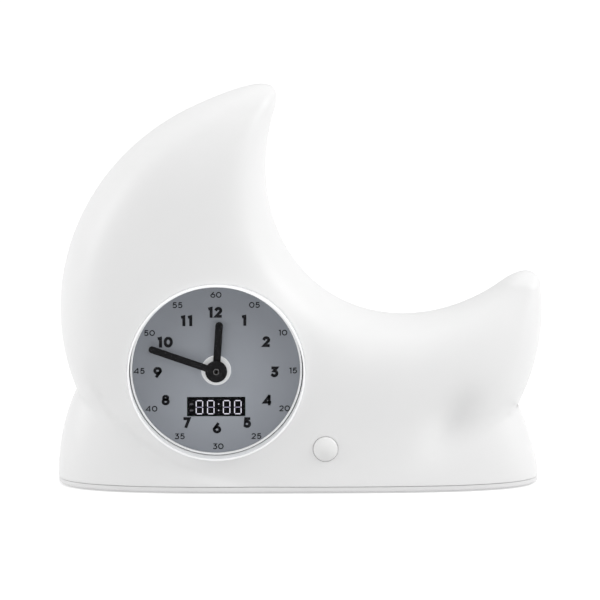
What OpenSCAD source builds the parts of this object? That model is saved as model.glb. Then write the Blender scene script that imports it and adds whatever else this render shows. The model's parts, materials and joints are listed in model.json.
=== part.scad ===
// Crescent-moon alarm clock with a night light. Millimetres, +Z up, front towards -Y.
// The origin lies on the ground, under the middle of the clock.

/* [Body] */
// Overall width of the clock
body_w = 222.8; // [186:0.2:268]
// Height of the middle of the moon's outer arc
moon_z = 79.8; // [78:0.2:84]
// How much narrower the moon's outer arc is, at the left
moon_inset = 1.2; // [0:0.2:3]
// Height of the whole ellipse that the outer arc belongs to
moon_h = 208; // [200:1:216]
// Depth of the moon from the parting plane, where it is thickest
moon_d = 39.6; // [38:0.1:47.5]
// Place of the middle of the hollow, right of the outer arc's middle
hollow_x = 56.6; // [52:0.2:62]
// Height of the middle of the hollow above the outer arc's middle
hollow_z = 76; // [72:0.5:82]
// Long radius of the hollow's ellipse
hollow_long = 82.1; // [80:0.1:86]
// Short radius of the hollow's ellipse
hollow_short = 70.1; // [68:0.1:72]
// Turn of the hollow's ellipse
hollow_turn = 61.9; // [56:0.1:68]
// Wall of both shells
wall = 2.2; // [1.8:0.1:2.8]

/* [Pedestal] */
// How much narrower the pedestal's foot is, at the right
foot_inset = 1.6; // [0:0.2:4]
// Depth of the pedestal at its foot, front to rear
foot_d = 77; // [72:1:90]
// Squareness of the footprint, 2 being an ellipse
foot_power = 3.4; // [2.6:0.1:4.5]
// Draw-in of the left side at the flare's height
flare_left = 9; // [7:0.5:11]
// How sharply the left side bends
flare_left_bend = 2.2; // [1.8:0.1:2.6]
// Draw-in of the right side at the flare's height
flare_right = 13; // [11:0.5:15]
// How sharply the right side bends
flare_right_bend = 1.5; // [1.3:0.1:1.9]
// Height above the foot at which the draw-in is measured
flare_h = 40; // [36:1:44]
// Lean of the pedestal's front, mm per mm of height
foot_lean = 0.18; // [0.1:0.01:0.25]
// Height at which the pedestal has sunk into the moon
foot_top = 62; // [56:1:70]
// Radius of the soft crease between moon and pedestal
crease_r = 5; // [2:0.5:8]

/* [Base] */
// Thickness of the base plate
plate_t = 2.2; // [2:0.1:3]
// How far the feet stand out under the base plate
foot_proud = 0.8; // [0.5:0.1:1.2]
// Radius of each rubber foot
foot_r = 5; // [4:0.5:6]
// Shadow gap between base plate and shells
seam_gap = 0.2; // [0.1:0.05:0.4]

/* [Dial] */
// Place of the dial's axis, left of the middle
dial_x = -38.7; // [-42:0.1:-36]
// Height of the dial's axis
dial_z = 56; // [54:0.5:62]
// Radius of the printed dial
dial_r = 38.2; // [31.8:0.1:39]
// Depth of the dial's face below the lens front
dial_depth = 9.2; // [8.4:0.1:10]
// Thickness of the lens
lens_t = 1.4; // [1.2:0.1:1.6]
// Width of the display window in the dial
window_w = 26.6; // [24:0.2:28]
// Height of the display window in the dial
window_h = 9; // [8:0.2:9.4]
// Middle of the display window below the dial's axis
window_drop = 16.9; // [16.5:0.1:18]
// Length of the hour hand
hour_l = 22; // [18:0.5:26]
// Length of the minute hand
minute_l = 32.4; // [28:0.2:33]
// Clockwise angle of the hour hand at rest
hour_angle = 4.4; // [0:0.1:360]
// Clockwise angle of the minute hand at rest
minute_angle = 288; // [0:0.5:360]

/* [Controls] */
// Place of the front button, right of the middle
button_x = 11; // [9:0.5:14]
// Height of the front button
button_z = 20.4; // [18:0.2:24]
// Radius of the front button
button_r = 5.6; // [5:0.1:6.2]
// Travel of the front button
button_travel = 1.2; // [0.8:0.1:1.4]
// Middle of the control panel at the rear, right of the middle
panel_x = 0; // [-6:0.5:6]
// Height of the middle of the control panel
panel_z = 24; // [23:0.5:27]
// Width of the control panel
panel_w = 58; // [57:0.5:62]
// Height of the control panel
panel_h = 20; // [16:0.5:22]
// Radius of the rear push buttons
key_r = 3.2; // [2.6:0.1:3.6]
// Travel of the rear push buttons
key_travel = 0.9; // [0.6:0.1:1]
// Travel of the alarm switch
switch_travel = 4; // [3:0.5:5]
// Radius of the time-setting knob
knob_r = 7; // [6:0.5:8]

/* [Power and sound] */
// Diameter of one cell
cell_d = 14.2; // [12:0.1:17]
// Length of one cell
cell_l = 50.2; // [44:0.1:51]
// Number of cells side by side
cell_count = 3; // [2:1:3]
// Middle of the battery box, left of the middle
battery_x = -30; // [-34:1:-26]
// Middle of the battery box, behind the parting plane
battery_y = 1; // [0:0.5:2]
// Radius of the speaker
speaker_r = 18; // [14:0.5:20]
// Depth of the speaker
speaker_h = 7; // [5:0.5:10]
// Place of the speaker, right of the middle
speaker_x = 62; // [58:1:66]

/* [Fits] */
// Clearance between parts that slide or drop in
fit = 0.3; // [0.2:0.05:0.5]
// Running clearance of shafts in their bores
run = 0.05; // [0.03:0.01:0.09]

/* [Hidden] */

plate_z = foot_proud;
plate_top = plate_z + plate_t;
shell_z = plate_top + seam_gap;
moon_w = body_w - moon_inset;
foot_w = body_w - foot_inset;
moon_x = moon_inset / 2;
foot_x = -foot_inset / 2;
hollow_r = [hollow_long, hollow_short];
flares = [[flare_left, flare_left_bend], [flare_right, flare_right_bend]];
arc_start = 116.2;
arc_end = 365.8;
hollow_start = 103.1;
hollow_end = 240.8;
tip_pull_up = [33.9, 16];
tip_pull_right = [4.5, 16.6];
// Cells on a rung, rungs on the foot's edge, and how far those gather at its ends (1 is least)
cells_across = 12;
foot_rungs = 19;
foot_spread = 0.8;

// ---- Outline of the moon ----

// Point of an ellipse with centre c, radii r and turn a, at angle t
function ellipse_pt(c, r, a, t) =
    c + [r[0] * cos(t) * cos(a) - r[1] * sin(t) * sin(a),
         r[0] * cos(t) * sin(a) + r[1] * sin(t) * cos(a)];
function mix(a, b, t) = a + (b - a) * t;
function unit(v) = v / norm(v);
function outer_pt(t) =
    ellipse_pt([moon_x, moon_z], [moon_w, moon_h] / 2, 0, mix(arc_start, arc_end, t));
function inner_pt(t) =
    ellipse_pt([moon_x + hollow_x, moon_z + hollow_z], hollow_r, hollow_turn,
               mix(hollow_start, hollow_end, t));
function bezier(p, t) =
    pow(1 - t, 3) * p[0] + 3 * t * pow(1 - t, 2) * p[1] + 3 * t * t * (1 - t) * p[2]
    + pow(t, 3) * p[3];
// Horn tip at one end of both arcs: a curve that leaves each arc along its tangent
function tip_pts(e, step, pull) = [
    outer_pt(e),
    outer_pt(e) + unit(outer_pt(e) - outer_pt(e + step)) * pull[0],
    inner_pt(e) + unit(inner_pt(e) - inner_pt(e + step)) * pull[1],
    inner_pt(e)
];
tip_up = tip_pts(0, 0.001, tip_pull_up);
tip_right = tip_pts(1, -0.001, tip_pull_right);

// ---- Pedestal ----

// Half width of the pedestal at height z, on the side that x lies on
function foot_half(x, z) =
    let(f = flares[x < foot_x ? 0 : 1], h = max(0, z - shell_z))
    foot_w / 2 - f[0] * pow(h / flare_h, f[1]);
function side_x(side, z) = foot_x + side * foot_half(foot_x + side, z);
// Depth of the pedestal at a place in the front view
function foot_depth(x, z) =
    let(h = max(0, z - shell_z), q = abs(x - foot_x) / foot_half(x, z))
    h >= foot_top || q >= 1 ? 0
        : (foot_d / 2 - foot_lean * h) * sqrt(1 - pow(h / foot_top, 4))
          * pow(1 - pow(q, foot_power), 1 / foot_power);
// Arc position at which the moon's outline crosses the pedestal's side, by halving
function pinch(side, lo, hi, n = 24) =
    let(t = (lo + hi) / 2, p = outer_pt(t), wide = side * (p[0] - side_x(side, p[1])) > 0)
    n == 0 ? t : (wide == (side < 0)) ? pinch(side, t, hi, n - 1) : pinch(side, lo, t, n - 1);
pinch_l = pinch(-1, 0.26, 0.45);
pinch_r = pinch(1, 0.78, 0.95);
// Arc position whose rung runs through point p, by halving
function rung_of(p, lo, hi, n = 24) =
    let(t = (lo + hi) / 2, a = inner_pt(t), b = outer_pt(t) - a, c = p - a)
    n == 0 ? t : b[0] * c[1] - b[1] * c[0] > 0 ? rung_of(p, t, hi, n - 1)
        : rung_of(p, lo, t, n - 1);

// ---- Grid of rungs from the outer outline to the hollow ----
// Each rung is [outer end, moon's own edge, inner end, kind]; kind 0 ends on the parting
// plane, 1 at a foot corner, 2 on the foot's edge, 3 is a horn's very tip

function arc_rung(t) = [outer_pt(t), outer_pt(t), inner_pt(t), 0];
function tip_rung(p, u) =
    let(a = bezier(p, 0.5 - u / 2), b = bezier(p, 0.5 + u / 2)) [a, a, b, u == 0 ? 3 : 0];
function edge_rung(p, kind) =
    let(t = rung_of(p, pinch_l - 0.02, pinch_r + 0.02)) [p, outer_pt(t), inner_pt(t), kind];
pinch_zl = outer_pt(pinch_l)[1];
pinch_zr = outer_pt(pinch_r)[1];
rungs = [
    for (i = [0:4]) tip_rung(tip_up, i / 5),
    for (i = [0:14]) arc_rung(pinch_l * i / 14),
    for (i = [1:5]) let(z = mix(pinch_zl, shell_z, i / 5))
        edge_rung([side_x(-1, z), z], i == 5 ? 1 : 0),
    for (i = [1:foot_rungs]) let(c = -cos(180 * i / (foot_rungs + 1)))
        edge_rung([foot_x + foot_w / 2 * sign(c) * pow(abs(c), foot_spread), shell_z], 2),
    for (i = [0:4]) let(z = mix(shell_z, pinch_zr, i / 5))
        edge_rung([side_x(1, z), z], i == 0 ? 1 : 0),
    for (i = [0:6]) arc_rung(mix(pinch_r, 1, i / 6)),
    for (i = [1:5]) tip_rung(tip_right, 1 - i / 5)
];
last = len(rungs) - 1;

// Depth of the body's skin at point p of the front view
function skin_depth(p) =
    let(t = rung_of(p, 0, 1))
    blend(moon_depth([p, outer_pt(t), inner_pt(t)], p), foot_depth(p[0], p[1]));
function tenth(v) = round(10 * v) / 10;
function tanh(v) = (1 - exp(-2 * v)) / (1 + exp(-2 * v));
// Depth of the moon's cushion on a rung: flat in the middle, round at both edges
function moon_depth(g, p) =
    let(half = norm(g[1] - g[2]) / 2, q = abs(norm(p - g[2]) / max(half, 0.001) - 1))
    q >= 1 ? 0 : moon_d * tanh(1.15 * half / moon_d)
        * pow(1 - pow(q, 2.2 + 2.4 * min(1, half / 55)), 1 / 2.2);
// The larger of two depths, with a soft crease where they cross
function blend(a, b) =
    let(top = max(a, b), r = crease_r * min(1, top / 14))
    r <= 0 ? top : top + pow(max(0, r - abs(a - b)), 2) / (4 * r);
function share(j) = (1 - cos(180 * j / cells_across)) / 2;
function skin_pt(k, j) =
    let(g = rungs[k], p = mix(g[0], g[2], share(j)),
        open = g[3] == 3 || j == cells_across || (j == 0 && g[3] != 2))
    [p[0], open ? 0 : -blend(moon_depth(g, p), foot_depth(p[0], p[1])), p[1]];
skin = [for (k = [0:last]) [for (j = [0:cells_across]) skin_pt(k, j)]];
// Direction into the body at each grid point
function inward(k, j) =
    let(kind = rungs[k][3], m = cells_across, k0 = max(k - 1, 0), k1 = min(k + 1, last),
        along = skin[k1][j] - skin[k0][j],
        across = skin[k][min(j + 1, m)] - skin[k][max(j - 1, 0)])
    kind == 3 ? unit(skin[k == 0 ? 1 : last - 1][m / 2][0] * [1, 0, 0]
                     + skin[k == 0 ? 1 : last - 1][m / 2][2] * [0, 0, 1] - skin[k][0])
    : kind == 1 && j == 0 ? [foot_x > skin[k][0][0] ? 1 : -1, 0, 0]
    : kind == 2 && j == 0 ? unit([-along[1], along[0], 0])
    : j == 0 ? unit([-along[2], 0, along[0]])
    : j == m ? unit([along[2], 0, -along[0]])
    : unit(cross(across, along));
// Grid point moved inwards by off; past the open sides by ext
function grid_pt(k, j, off, ext) =
    let(kind = rungs[k][3], p = skin[k][j] + off * inward(k, j),
        open = kind == 3 || j == cells_across || (j == 0 && kind != 2),
        low = j == 0 && (kind == 1 || kind == 2))
    [p[0], open ? ext : p[1], low ? shell_z - ext : p[2]];

// Closed front half of the body, shrunk by off and reaching ext past its open sides.
// Each row of points runs across the skin; foot rows get one more point on the parting plane.
module half_body(off, ext) {
    m = cells_across;
    w = m + 1;
    rows = [for (k = [1:last - 1]) k];
    n = len(rows);
    foot_rows = [for (r = [0:n - 1]) if (rungs[r + 1][3] == 2) r];
    first = foot_rows[0];
    end = foot_rows[len(foot_rows) - 1];
    pts = concat(
        [for (k = rows) each [for (j = [0:m]) grid_pt(k, j, off, ext)]],
        [grid_pt(0, 0, off, ext), grid_pt(last, 0, off, ext)],
        [for (r = foot_rows) let(p = grid_pt(r + 1, 0, off, ext)) [p[0], ext, p[2]]]);
    tip_a = n * w;
    tip_b = tip_a + 1;
    function id(r, j) = r * w + j;
    function mid(r) = r < first || r > end ? id(r, 0) : tip_b + 1 + r - first;
    function quad(a, b, c, d) = [[a, b, c], [a, c, d]];
    grid = [for (r = [0:n - 2]) each [for (j = [0:m - 1])
        each quad(id(r, j), id(r, j + 1), id(r + 1, j + 1), id(r + 1, j))]];
    parting = [for (r = [0:n - 2]) each quad(mid(r), mid(r + 1), id(r + 1, m), id(r, m))];
    bottom = [for (r = [first:end - 1]) each quad(id(r, 0), id(r + 1, 0), mid(r + 1), mid(r))];
    corners = [[mid(first - 1), id(first, 0), mid(first)], [id(end, 0), mid(end + 1), mid(end)]];
    tips = [for (j = [0:m - 1])
        each [[tip_a, id(0, j + 1), id(0, j)], [tip_b, id(n - 1, j), id(n - 1, j + 1)]]];
    tip_ends = [[tip_a, id(0, 0), id(0, m)], [tip_b, id(n - 1, m), id(n - 1, 0)]];
    polyhedron(points = pts, faces = concat(grid, parting, bottom, corners, tips, tip_ends));
}

// ---- Places that several parts share ----

// y beyond every surface, for cuts and posts that run out of the body
past = 60;
dial_at = [dial_x, dial_z];
lens_front = moon_d;
dial_y = -(lens_front - dial_depth);
dial_t = 0.8;
lens_lip = 2.2;
lens_r = dial_r + lens_lip;
ledge_y = dial_y + dial_t;
ledge_t = 1.4;
ledge_r = dial_r - 1.7;
well_wall = 1.8;
gear_gap = 9.6;
knob_z = dial_z + gear_gap;
knob_at = [dial_x, knob_z];
knob_front = moon_d;
cup_surface = tenth(skin_depth(knob_at));
cup_floor_y = knob_front - 6.6;
cup_floor_t = 1.2;
knob_cup_r = knob_r + 2.7;
board_t = 1.6;
board_gap = 0.8;
led_board_y = 4.4;
panel_t = 2;
// The panel lies level with the skin at its shallowest corner, sunk everywhere else
panel_y = tenth(min([for (x = [-1, 1], z = [-1, 1])
    skin_depth([panel_x + x * panel_w / 2, panel_z + z * panel_h / 2])]) - 0.1) - panel_t;
panel_ledge = 2;
control_board_y = panel_y - 6.4;
button_at = [button_x, button_z];
button_face = tenth(skin_depth(button_at) + 0.2);
main_board_y = 10.4 - button_face;
button_guide_y = main_board_y - 4.6;

screw_r = 1.5;
screw_head_r = 3;
screw_head_h = 2.2;
screw_seat = 8;
screw_reach = 11;
screw_boss_r = 3.4;
small_screw_r = 1.1;
small_head_r = 2.2;
small_head_h = 1.2;
small_boss_r = 2.4;
small_reach = 4;
bore_wall = 1.4;
// Point of the front view on the rung at arc position t, share s of the way to the hollow
function on_rung(t, s) = mix(outer_pt(t), inner_pt(t), s);
function from_side(side, d, z) = [side_x(side, z) - side * d, z];
case_screw_at = [on_rung(0.186, 0.28), on_rung(0.077, 0.795), on_rung(0.888, 0.523),
                 from_side(-1, 24.8, 26), from_side(1, 23.6, 22)];
base_screw_at = [for (s = [-1, 1]) each [[18.6 - foot_w / 2, 9 * s], [foot_w / 2 - 18.6, 9 * s],
                                         [24, (foot_d / 2 - 12.5) * s]]];
base_head_h = 1.2;
foot_at = [for (x = [-1, 1], y = [-1, 1]) [x * (foot_w / 2 - 26.6), y * (foot_d / 2 - 18.5)]];
boss_h = 12;
rim_h = 2.4;
rim_t = 1.6;
rim_gap = 0.8;
main_board_x = [4, 62];
main_board_z = [shell_z + boss_h + board_gap, 44];
main_board_screws = [[9, 39], [56, 21], [56, 39]];
control_screws = [for (x = [-26, 26]) [panel_x + x, panel_z + 13]];
led_left_screws = [[-62, 98], [-62, 138]];
led_right_screws = [[32, 52], [72, 52]];
key_x = [for (x = [-22, -11.5, -1]) panel_x + x];
switch_x = panel_x + 9.5;
inlet_x = panel_x + 21;

// Cylinder along Y from y0 to y1 at a place in the front view
module post(p, y0, y1, r, fn = 48) {
    translate([p[0], y1, p[1]]) rotate([90, 0, 0]) cylinder(h = y1 - y0, r = r, $fn = fn);
}
module ring(p, y0, y1, r_out, r_in, fn = 48) {
    difference() {
        post(p, y0, y1, r_out, fn);
        post(p, y0 - 1, y1 + 1, r_in, fn);
    }
}
// Upright cylinder from height z, with p its place in the ground plan
module stud(p, z, h, r, fn = 32) {
    translate([p[0], p[1], z]) cylinder(h = h, r = r, $fn = fn);
}
// Cylinder along X from x0 to x1 at y and z
module axle(x0, x1, y, z, r) {
    translate([x0, y, z]) rotate([0, 90, 0]) cylinder(h = x1 - x0, r = r, $fn = 32);
}
// Box given by its low corner and its high corner
module span(a, b) {
    translate(a) cube(b - a);
}
// Flat shape in the front view, extruded towards the front from plane y
module on_front(p, y, h) {
    translate([p[0], y, p[1]]) rotate([90, 0, 0]) linear_extrude(h) children();
}

// ---- Shells ----

// Vertical boss for a base screw, with a web out to the nearest wall over the plate's rim
module base_boss(p) {
    end = abs(p[0]) > foot_w / 4;
    web = end ? [sign(p[0]) * 27, 0] : [0, sign(p[1]) * 15];
    side = end ? [0, 1] : [1, 0];
    low = [for (i = [0, 1]) min(p[i], p[i] + web[i]) - side[i]];
    high = [for (i = [0, 1]) max(p[i], p[i] + web[i]) + side[i]];
    stud(p, shell_z, boss_h, screw_boss_r);
    span([low[0], low[1], plate_top + rim_h + fit], [high[0], high[1], shell_z + boss_h]);
}
// Bosses on one side of the parting plane, -1 in front and 1 behind
module base_bosses(side) {
    for (p = base_screw_at)
        if (p[1] * side > 0)
            base_boss(p);
}
module base_pilots() {
    for (p = base_screw_at)
        stud(p, shell_z - 1, boss_h - 1, screw_r + run);
}

module front_shell() {
    color("white") difference() {
        half_body(0, 0);
        difference() {
            half_body(wall, 0.5);
            post(dial_at, -past, ledge_y + ledge_t, lens_r + fit + well_wall, 96);
            post(button_at, -past, button_guide_y, button_r + fit + well_wall);
            for (p = case_screw_at)
                post(p, -past, 0, screw_boss_r, 32);
            for (p = main_board_screws)
                post(p, -past, main_board_y, small_boss_r, 32);
            base_bosses(-1);
        }
        post(dial_at, -past, ledge_y, lens_r + fit, 96);
        post(dial_at, -past, 0, ledge_r, 96);
        post(button_at, -past, 0, button_r + fit);
        for (p = case_screw_at)
            post(p, -screw_reach - 1, 1, screw_r + run, 32);
        for (p = main_board_screws)
            post(p, main_board_y - small_reach - 2, main_board_y + 1, small_screw_r + run, 32);
        base_pilots();
    }
}

// Boards that the rear shell holds: screw places and the face that rests on the posts
rear_boards = [[concat(led_left_screws, led_right_screws), led_board_y + board_t],
               [control_screws, control_board_y + board_t]];
module rear_shell() {
    color("white") difference() {
        mirror([0, 1, 0]) half_body(0, 0);
        difference() {
            mirror([0, 1, 0]) half_body(wall, 0.5);
            for (p = case_screw_at)
                post(p, 0, past, screw_head_r + fit + bore_wall, 32);
            for (b = rear_boards, p = b[0])
                post(p, b[1], past, small_boss_r, 32);
            panel_block(panel_ledge + fit, panel_y - 3, past);
            base_bosses(1);
            post(knob_at, cup_floor_y, past, knob_cup_r + fit + bore_wall, 64);
        }
        panel_block(fit, panel_y, past);
        panel_block(-panel_ledge, panel_y - 10, panel_y + 1);
        post(knob_at, 0, past, knob_cup_r + fit, 64);
        for (p = case_screw_at) {
            post(p, -1, past, screw_r + run, 32);
            post(p, screw_seat, past, screw_head_r + fit, 32);
        }
        for (b = rear_boards, p = b[0])
            post(p, b[1] - 1, b[1] + small_reach + 0.5, small_screw_r + run, 32);
        base_pilots();
    }
}

// Block behind, in or through the control panel's seat
module panel_block(grow, y0, y1) {
    half = [panel_w, panel_h] / 2 + [grow, grow];
    span([panel_x - half[0], y0, panel_z - half[1]], [panel_x + half[0], y1, panel_z + half[1]]);
}

// ---- Base ----

// Footprint of the pedestal, drawn in by inset
function footprint(inset) = [
    for (i = [0:95])
        let(a = i * 360 / 96, c = cos(a), s = sin(a), e = 2 / foot_power)
        [foot_x + (foot_w / 2 - inset) * sign(c) * pow(abs(c), e),
         (foot_d / 2 - inset) * sign(s) * pow(abs(s), e)]
];
box_wall = 1.4;
cell_gap = 0.2;
contact_room = 2.6;
box_size = [cell_l + 2 * (box_wall + contact_room), cell_count * (cell_d + cell_gap) + 2 * box_wall + 1,
            cell_d + 2.6];
door_size = [box_size[0] - 3, box_size[1] - 3];
door_x = [battery_x - door_size[0] / 2, battery_x + door_size[0] / 2];
door_y = [battery_y - door_size[1] / 2, battery_y + door_size[1] / 2];
door_t = plate_t - fit;
hinge_z = plate_z + plate_t / 2;
hinge_pin_r = 0.6;
pin_reach = 2.8;
tab_r = 4;
door_screw_at = [battery_x, door_y[0] - 3.2, plate_z];

module base_plate() {
    color("white") difference() {
        union() {
            translate([0, 0, plate_z]) linear_extrude(plate_t) polygon(footprint(0.2));
            translate([0, 0, plate_top - 0.1]) linear_extrude(rim_h + 0.1) difference() {
                polygon(footprint(wall + fit + rim_gap));
                polygon(footprint(wall + fit + rim_gap + rim_t));
            }
        }
        span([door_x[0] - fit, door_y[0] - fit, plate_z - 1],
             [door_x[1] + fit, door_y[1] + plate_t / 2 + fit, plate_top + 5]);
        axle(door_x[0] - pin_reach - 0.7, door_x[1] + pin_reach + 0.7, door_y[1], hinge_z,
             hinge_pin_r + run);
        door_tab(fit, plate_z - 1, plate_t + 5);
        for (p = foot_at)
            stud(p, plate_z - 1, 2, foot_r + 0.1, 48);
        for (p = base_screw_at) {
            stud(p, plate_z - 1, plate_t + 5, screw_r + run);
            stud(p, plate_z - 1, base_head_h + 1.2, screw_head_r + fit);
        }
        for (q = [[0, 0], for (i = [0:5]) [5.5, i * 60], for (i = [0:11]) [11, i * 30]])
            stud([speaker_x + q[0] * cos(q[1]), q[0] * sin(q[1])], 0, 10, 1.3, 24);
    }
}

module rubber_feet() {
    color("dimgray") for (p = foot_at)
        stud(p, 0, foot_proud + 1, foot_r, 48);
}

// Tongue at the door's free edge, drawn out by grow
module door_tab(grow, z, h) {
    stud(door_screw_at, z, h, tab_r + grow, 48);
}
module battery_door() {
    color("white") difference() {
        union() {
            span([door_x[0], door_y[0], plate_z], [door_x[1], door_y[1], plate_z + door_t]);
            door_tab(0, plate_z, door_t);
            axle(door_x[0], door_x[1], door_y[1], hinge_z, plate_t / 2 - fit);
            axle(door_x[0] - pin_reach, door_x[1] + pin_reach, door_y[1], hinge_z, hinge_pin_r);
        }
        stud(door_screw_at, plate_z - 1, 10, small_screw_r + run);
        stud(door_screw_at, plate_z - 1, small_head_h + 1, small_head_r + 0.2);
        for (i = [-3:3])
            translate([battery_x + i * 4 - 0.6, door_y[0] + 4, plate_z - 1]) cube([1.2, 7, 1.5]);
    }
}
module door_screw() {
    color("silver") {
        stud(door_screw_at, plate_z, small_head_h, small_head_r);
        stud(door_screw_at, plate_z, plate_t + 1.4, small_screw_r);
    }
}

module battery_box() {
    low = [battery_x - box_size[0] / 2, battery_y - box_size[1] / 2, plate_top];
    color("gainsboro") difference() {
        union() {
            span(low, low + box_size);
            stud(door_screw_at, plate_top, 5, tab_r + fit + 0.8, 48);
        }
        span(low + [box_wall, box_wall, -1], low + box_size - [box_wall, box_wall, box_wall]);
        stud(door_screw_at, plate_top - 1, 4, small_screw_r + fit);
    }
}
cell_z = plate_top + 0.9 + cell_d / 2;
cells = [for (i = [0:cell_count - 1])
    battery_y + (i - (cell_count - 1) / 2) * (cell_d + cell_gap)];
cell_x = [battery_x - cell_l / 2, battery_x + cell_l / 2];
module batteries() {
    color("seagreen") for (y = cells) {
        axle(cell_x[0], cell_x[1] - 1, y, cell_z, cell_d / 2);
        axle(cell_x[0], cell_x[1], y, cell_z, 2.6);
    }
}
contact_r = 4.5;
contact_t = 0.4;
module battery_contacts() {
    color("silver") for (y = cells) {
        axle(cell_x[0] - contact_room, cell_x[0] - contact_room + contact_t, y, cell_z, contact_r);
        translate([cell_x[0] - contact_room, y, cell_z]) rotate([0, 90, 0])
            cylinder(h = contact_room - run, r1 = contact_r - 0.5, r2 = 2, $fn = 32);
        axle(cell_x[1] + contact_room - contact_t, cell_x[1] + contact_room, y, cell_z, contact_r);
        axle(cell_x[1] + run, cell_x[1] + contact_room, y, cell_z, 2);
    }
}

module speaker() {
    color("darkslategray") translate([speaker_x, 0, plate_top]) {
        cylinder(h = 1.2, r = speaker_r, $fn = 64);
        cylinder(h = speaker_h - 2, r1 = speaker_r - 1, r2 = speaker_r / 2 + 1, $fn = 64);
        cylinder(h = speaker_h, r = speaker_r / 2, $fn = 48);
    }
}

// ---- Dial and lens ----

// Block in the dial's window, drawn in by gap, from y0 to y1
module window_block(gap, y0, y1) {
    z = dial_z - window_drop;
    span([dial_x - window_w / 2 + gap, y0, z - window_h / 2 + gap],
         [dial_x + window_w / 2 - gap, y1, z + window_h / 2 - gap]);
}
module dial() {
    color("slategray") difference() {
        post(dial_at, dial_y, dial_y + dial_t, dial_r, 96);
        post(dial_at, dial_y - 1, dial_y + 2, neck_r + 0.2);
        window_block(0, dial_y - 1, dial_y + 2);
    }
}
// Profile of the lens from its middle to its rim: radius and depth behind its front
module lens() {
    back = lens_front + ledge_y;
    edge = 0.8;
    color("lightcyan", 0.35) translate([dial_x, -lens_front, dial_z]) rotate([-90, 0, 0])
        rotate_extrude($fn = 96)
            polygon([[0, 0], [lens_r - edge, 0], [lens_r, edge], [lens_r, back],
                     [lens_r - lens_t, back], [lens_r - lens_t, lens_t], [0, lens_t]]);
}

// ---- Hands and movement ----

neck_r = 3.6;
neck_front = dial_y - 1.1;
tube_r = 2.1;
arbor_r = 1.1;
hour_hand_y = dial_y - 2.2;
hour_hand_t = 0.7;
minute_hand_y = dial_y - 3.9;
minute_hand_t = 0.6;
stem_tip_r = 0.8;
stem_r = 1.6;
case_front = ledge_y;
case_back = case_front + 14;
hour_gear_y = case_front + 3.4;
minute_gear_y = hour_gear_y + 2;
gear_t = 1;
// Teeth of each pair, the smaller one first
hour_teeth = [10, 40];
minute_teeth = [12, 36];
hour_gear_mod = 2 * gear_gap / (hour_teeth[0] + hour_teeth[1]);
minute_gear_mod = 2 * gear_gap / (minute_teeth[0] + minute_teeth[1]);

module dial_nut() {
    color("white") ring(dial_at, neck_front, dial_y, neck_r + 3.2, neck_r);
}
// Flat hand pointing up: hub, arm with a round end
module hand_shape(len, width, hub_r, bore_r) {
    difference() {
        union() {
            circle(r = hub_r, $fn = 48);
            translate([-width / 2, 0]) square([width, len - width / 2]);
            translate([0, len - width / 2]) circle(d = width, $fn = 32);
        }
        circle(r = bore_r, $fn = 48);
    }
}
module hour_hand() {
    color("black") on_front(dial_at, hour_hand_y, hour_hand_t)
        rotate(-hour_angle) hand_shape(hour_l, 3.4, 2 * tube_r, tube_r);
}
module minute_hand() {
    color("black") on_front(dial_at, minute_hand_y, minute_hand_t)
        rotate(-minute_angle) hand_shape(minute_l, 3, 5, arbor_r);
}
module hand_cap() {
    y = minute_hand_y - minute_hand_t;
    color("silver") ring(dial_at, y - 0.6, y, 1.5, 0.5, 32);
}

// Involute tooth flank at angle t of roll, base radius r
function involute(r, t) =
    r * [cos(t) + t * PI / 180 * sin(t), sin(t) - t * PI / 180 * cos(t)];
function spin(p, a) = [p[0] * cos(a) - p[1] * sin(a), p[0] * sin(a) + p[1] * cos(a)];
function roll_at(base, r) = r <= base ? 0 : sqrt(pow(r / base, 2) - 1) * 180 / PI;
function inv_angle(t) = t - atan(t * PI / 180);
// Spur gear in the flat, one tooth pointing right
module gear(teeth, mod) {
    pressure = 25;
    pitch = teeth * mod / 2;
    base = pitch * cos(pressure);
    tip = pitch + 0.7 * mod;
    root = pitch - 1.05 * mod;
    slack = 0.05;
    half = 90 / teeth - slack / pitch * 180 / PI / 2 + inv_angle(roll_at(base, pitch));
    low = max(root, base);
    flank = [for (i = [0:4]) involute(base, mix(roll_at(base, low), roll_at(base, tip), i / 4))];
    foot = [root, 0];
    polygon([for (n = [0:teeth - 1]) each concat(
        [spin(foot, n * 360 / teeth - half)],
        [for (p = flank) spin([p[0], p[1]], n * 360 / teeth - half)],
        [for (i = [4:-1:0]) spin([flank[i][0], -flank[i][1]], n * 360 / teeth + half)],
        [spin(foot, n * 360 / teeth + half)])]);
}

module minute_arbor() {
    color("gold") {
        post(dial_at, minute_hand_y - minute_hand_t, case_back - 1.9, arbor_r);
        on_front(dial_at, minute_gear_y + gear_t, gear_t)
            rotate(90) gear(minute_teeth[0], minute_gear_mod);
    }
}
module hour_wheel() {
    color("ivory") {
        ring(dial_at, hour_hand_y - hour_hand_t, hour_gear_y, tube_r, arbor_r + run);
        difference() {
            on_front(dial_at, hour_gear_y + gear_t, gear_t)
                rotate(90) gear(hour_teeth[1], hour_gear_mod);
            post(dial_at, hour_gear_y - 1, hour_gear_y + 3, arbor_r + run);
        }
    }
}
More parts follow.
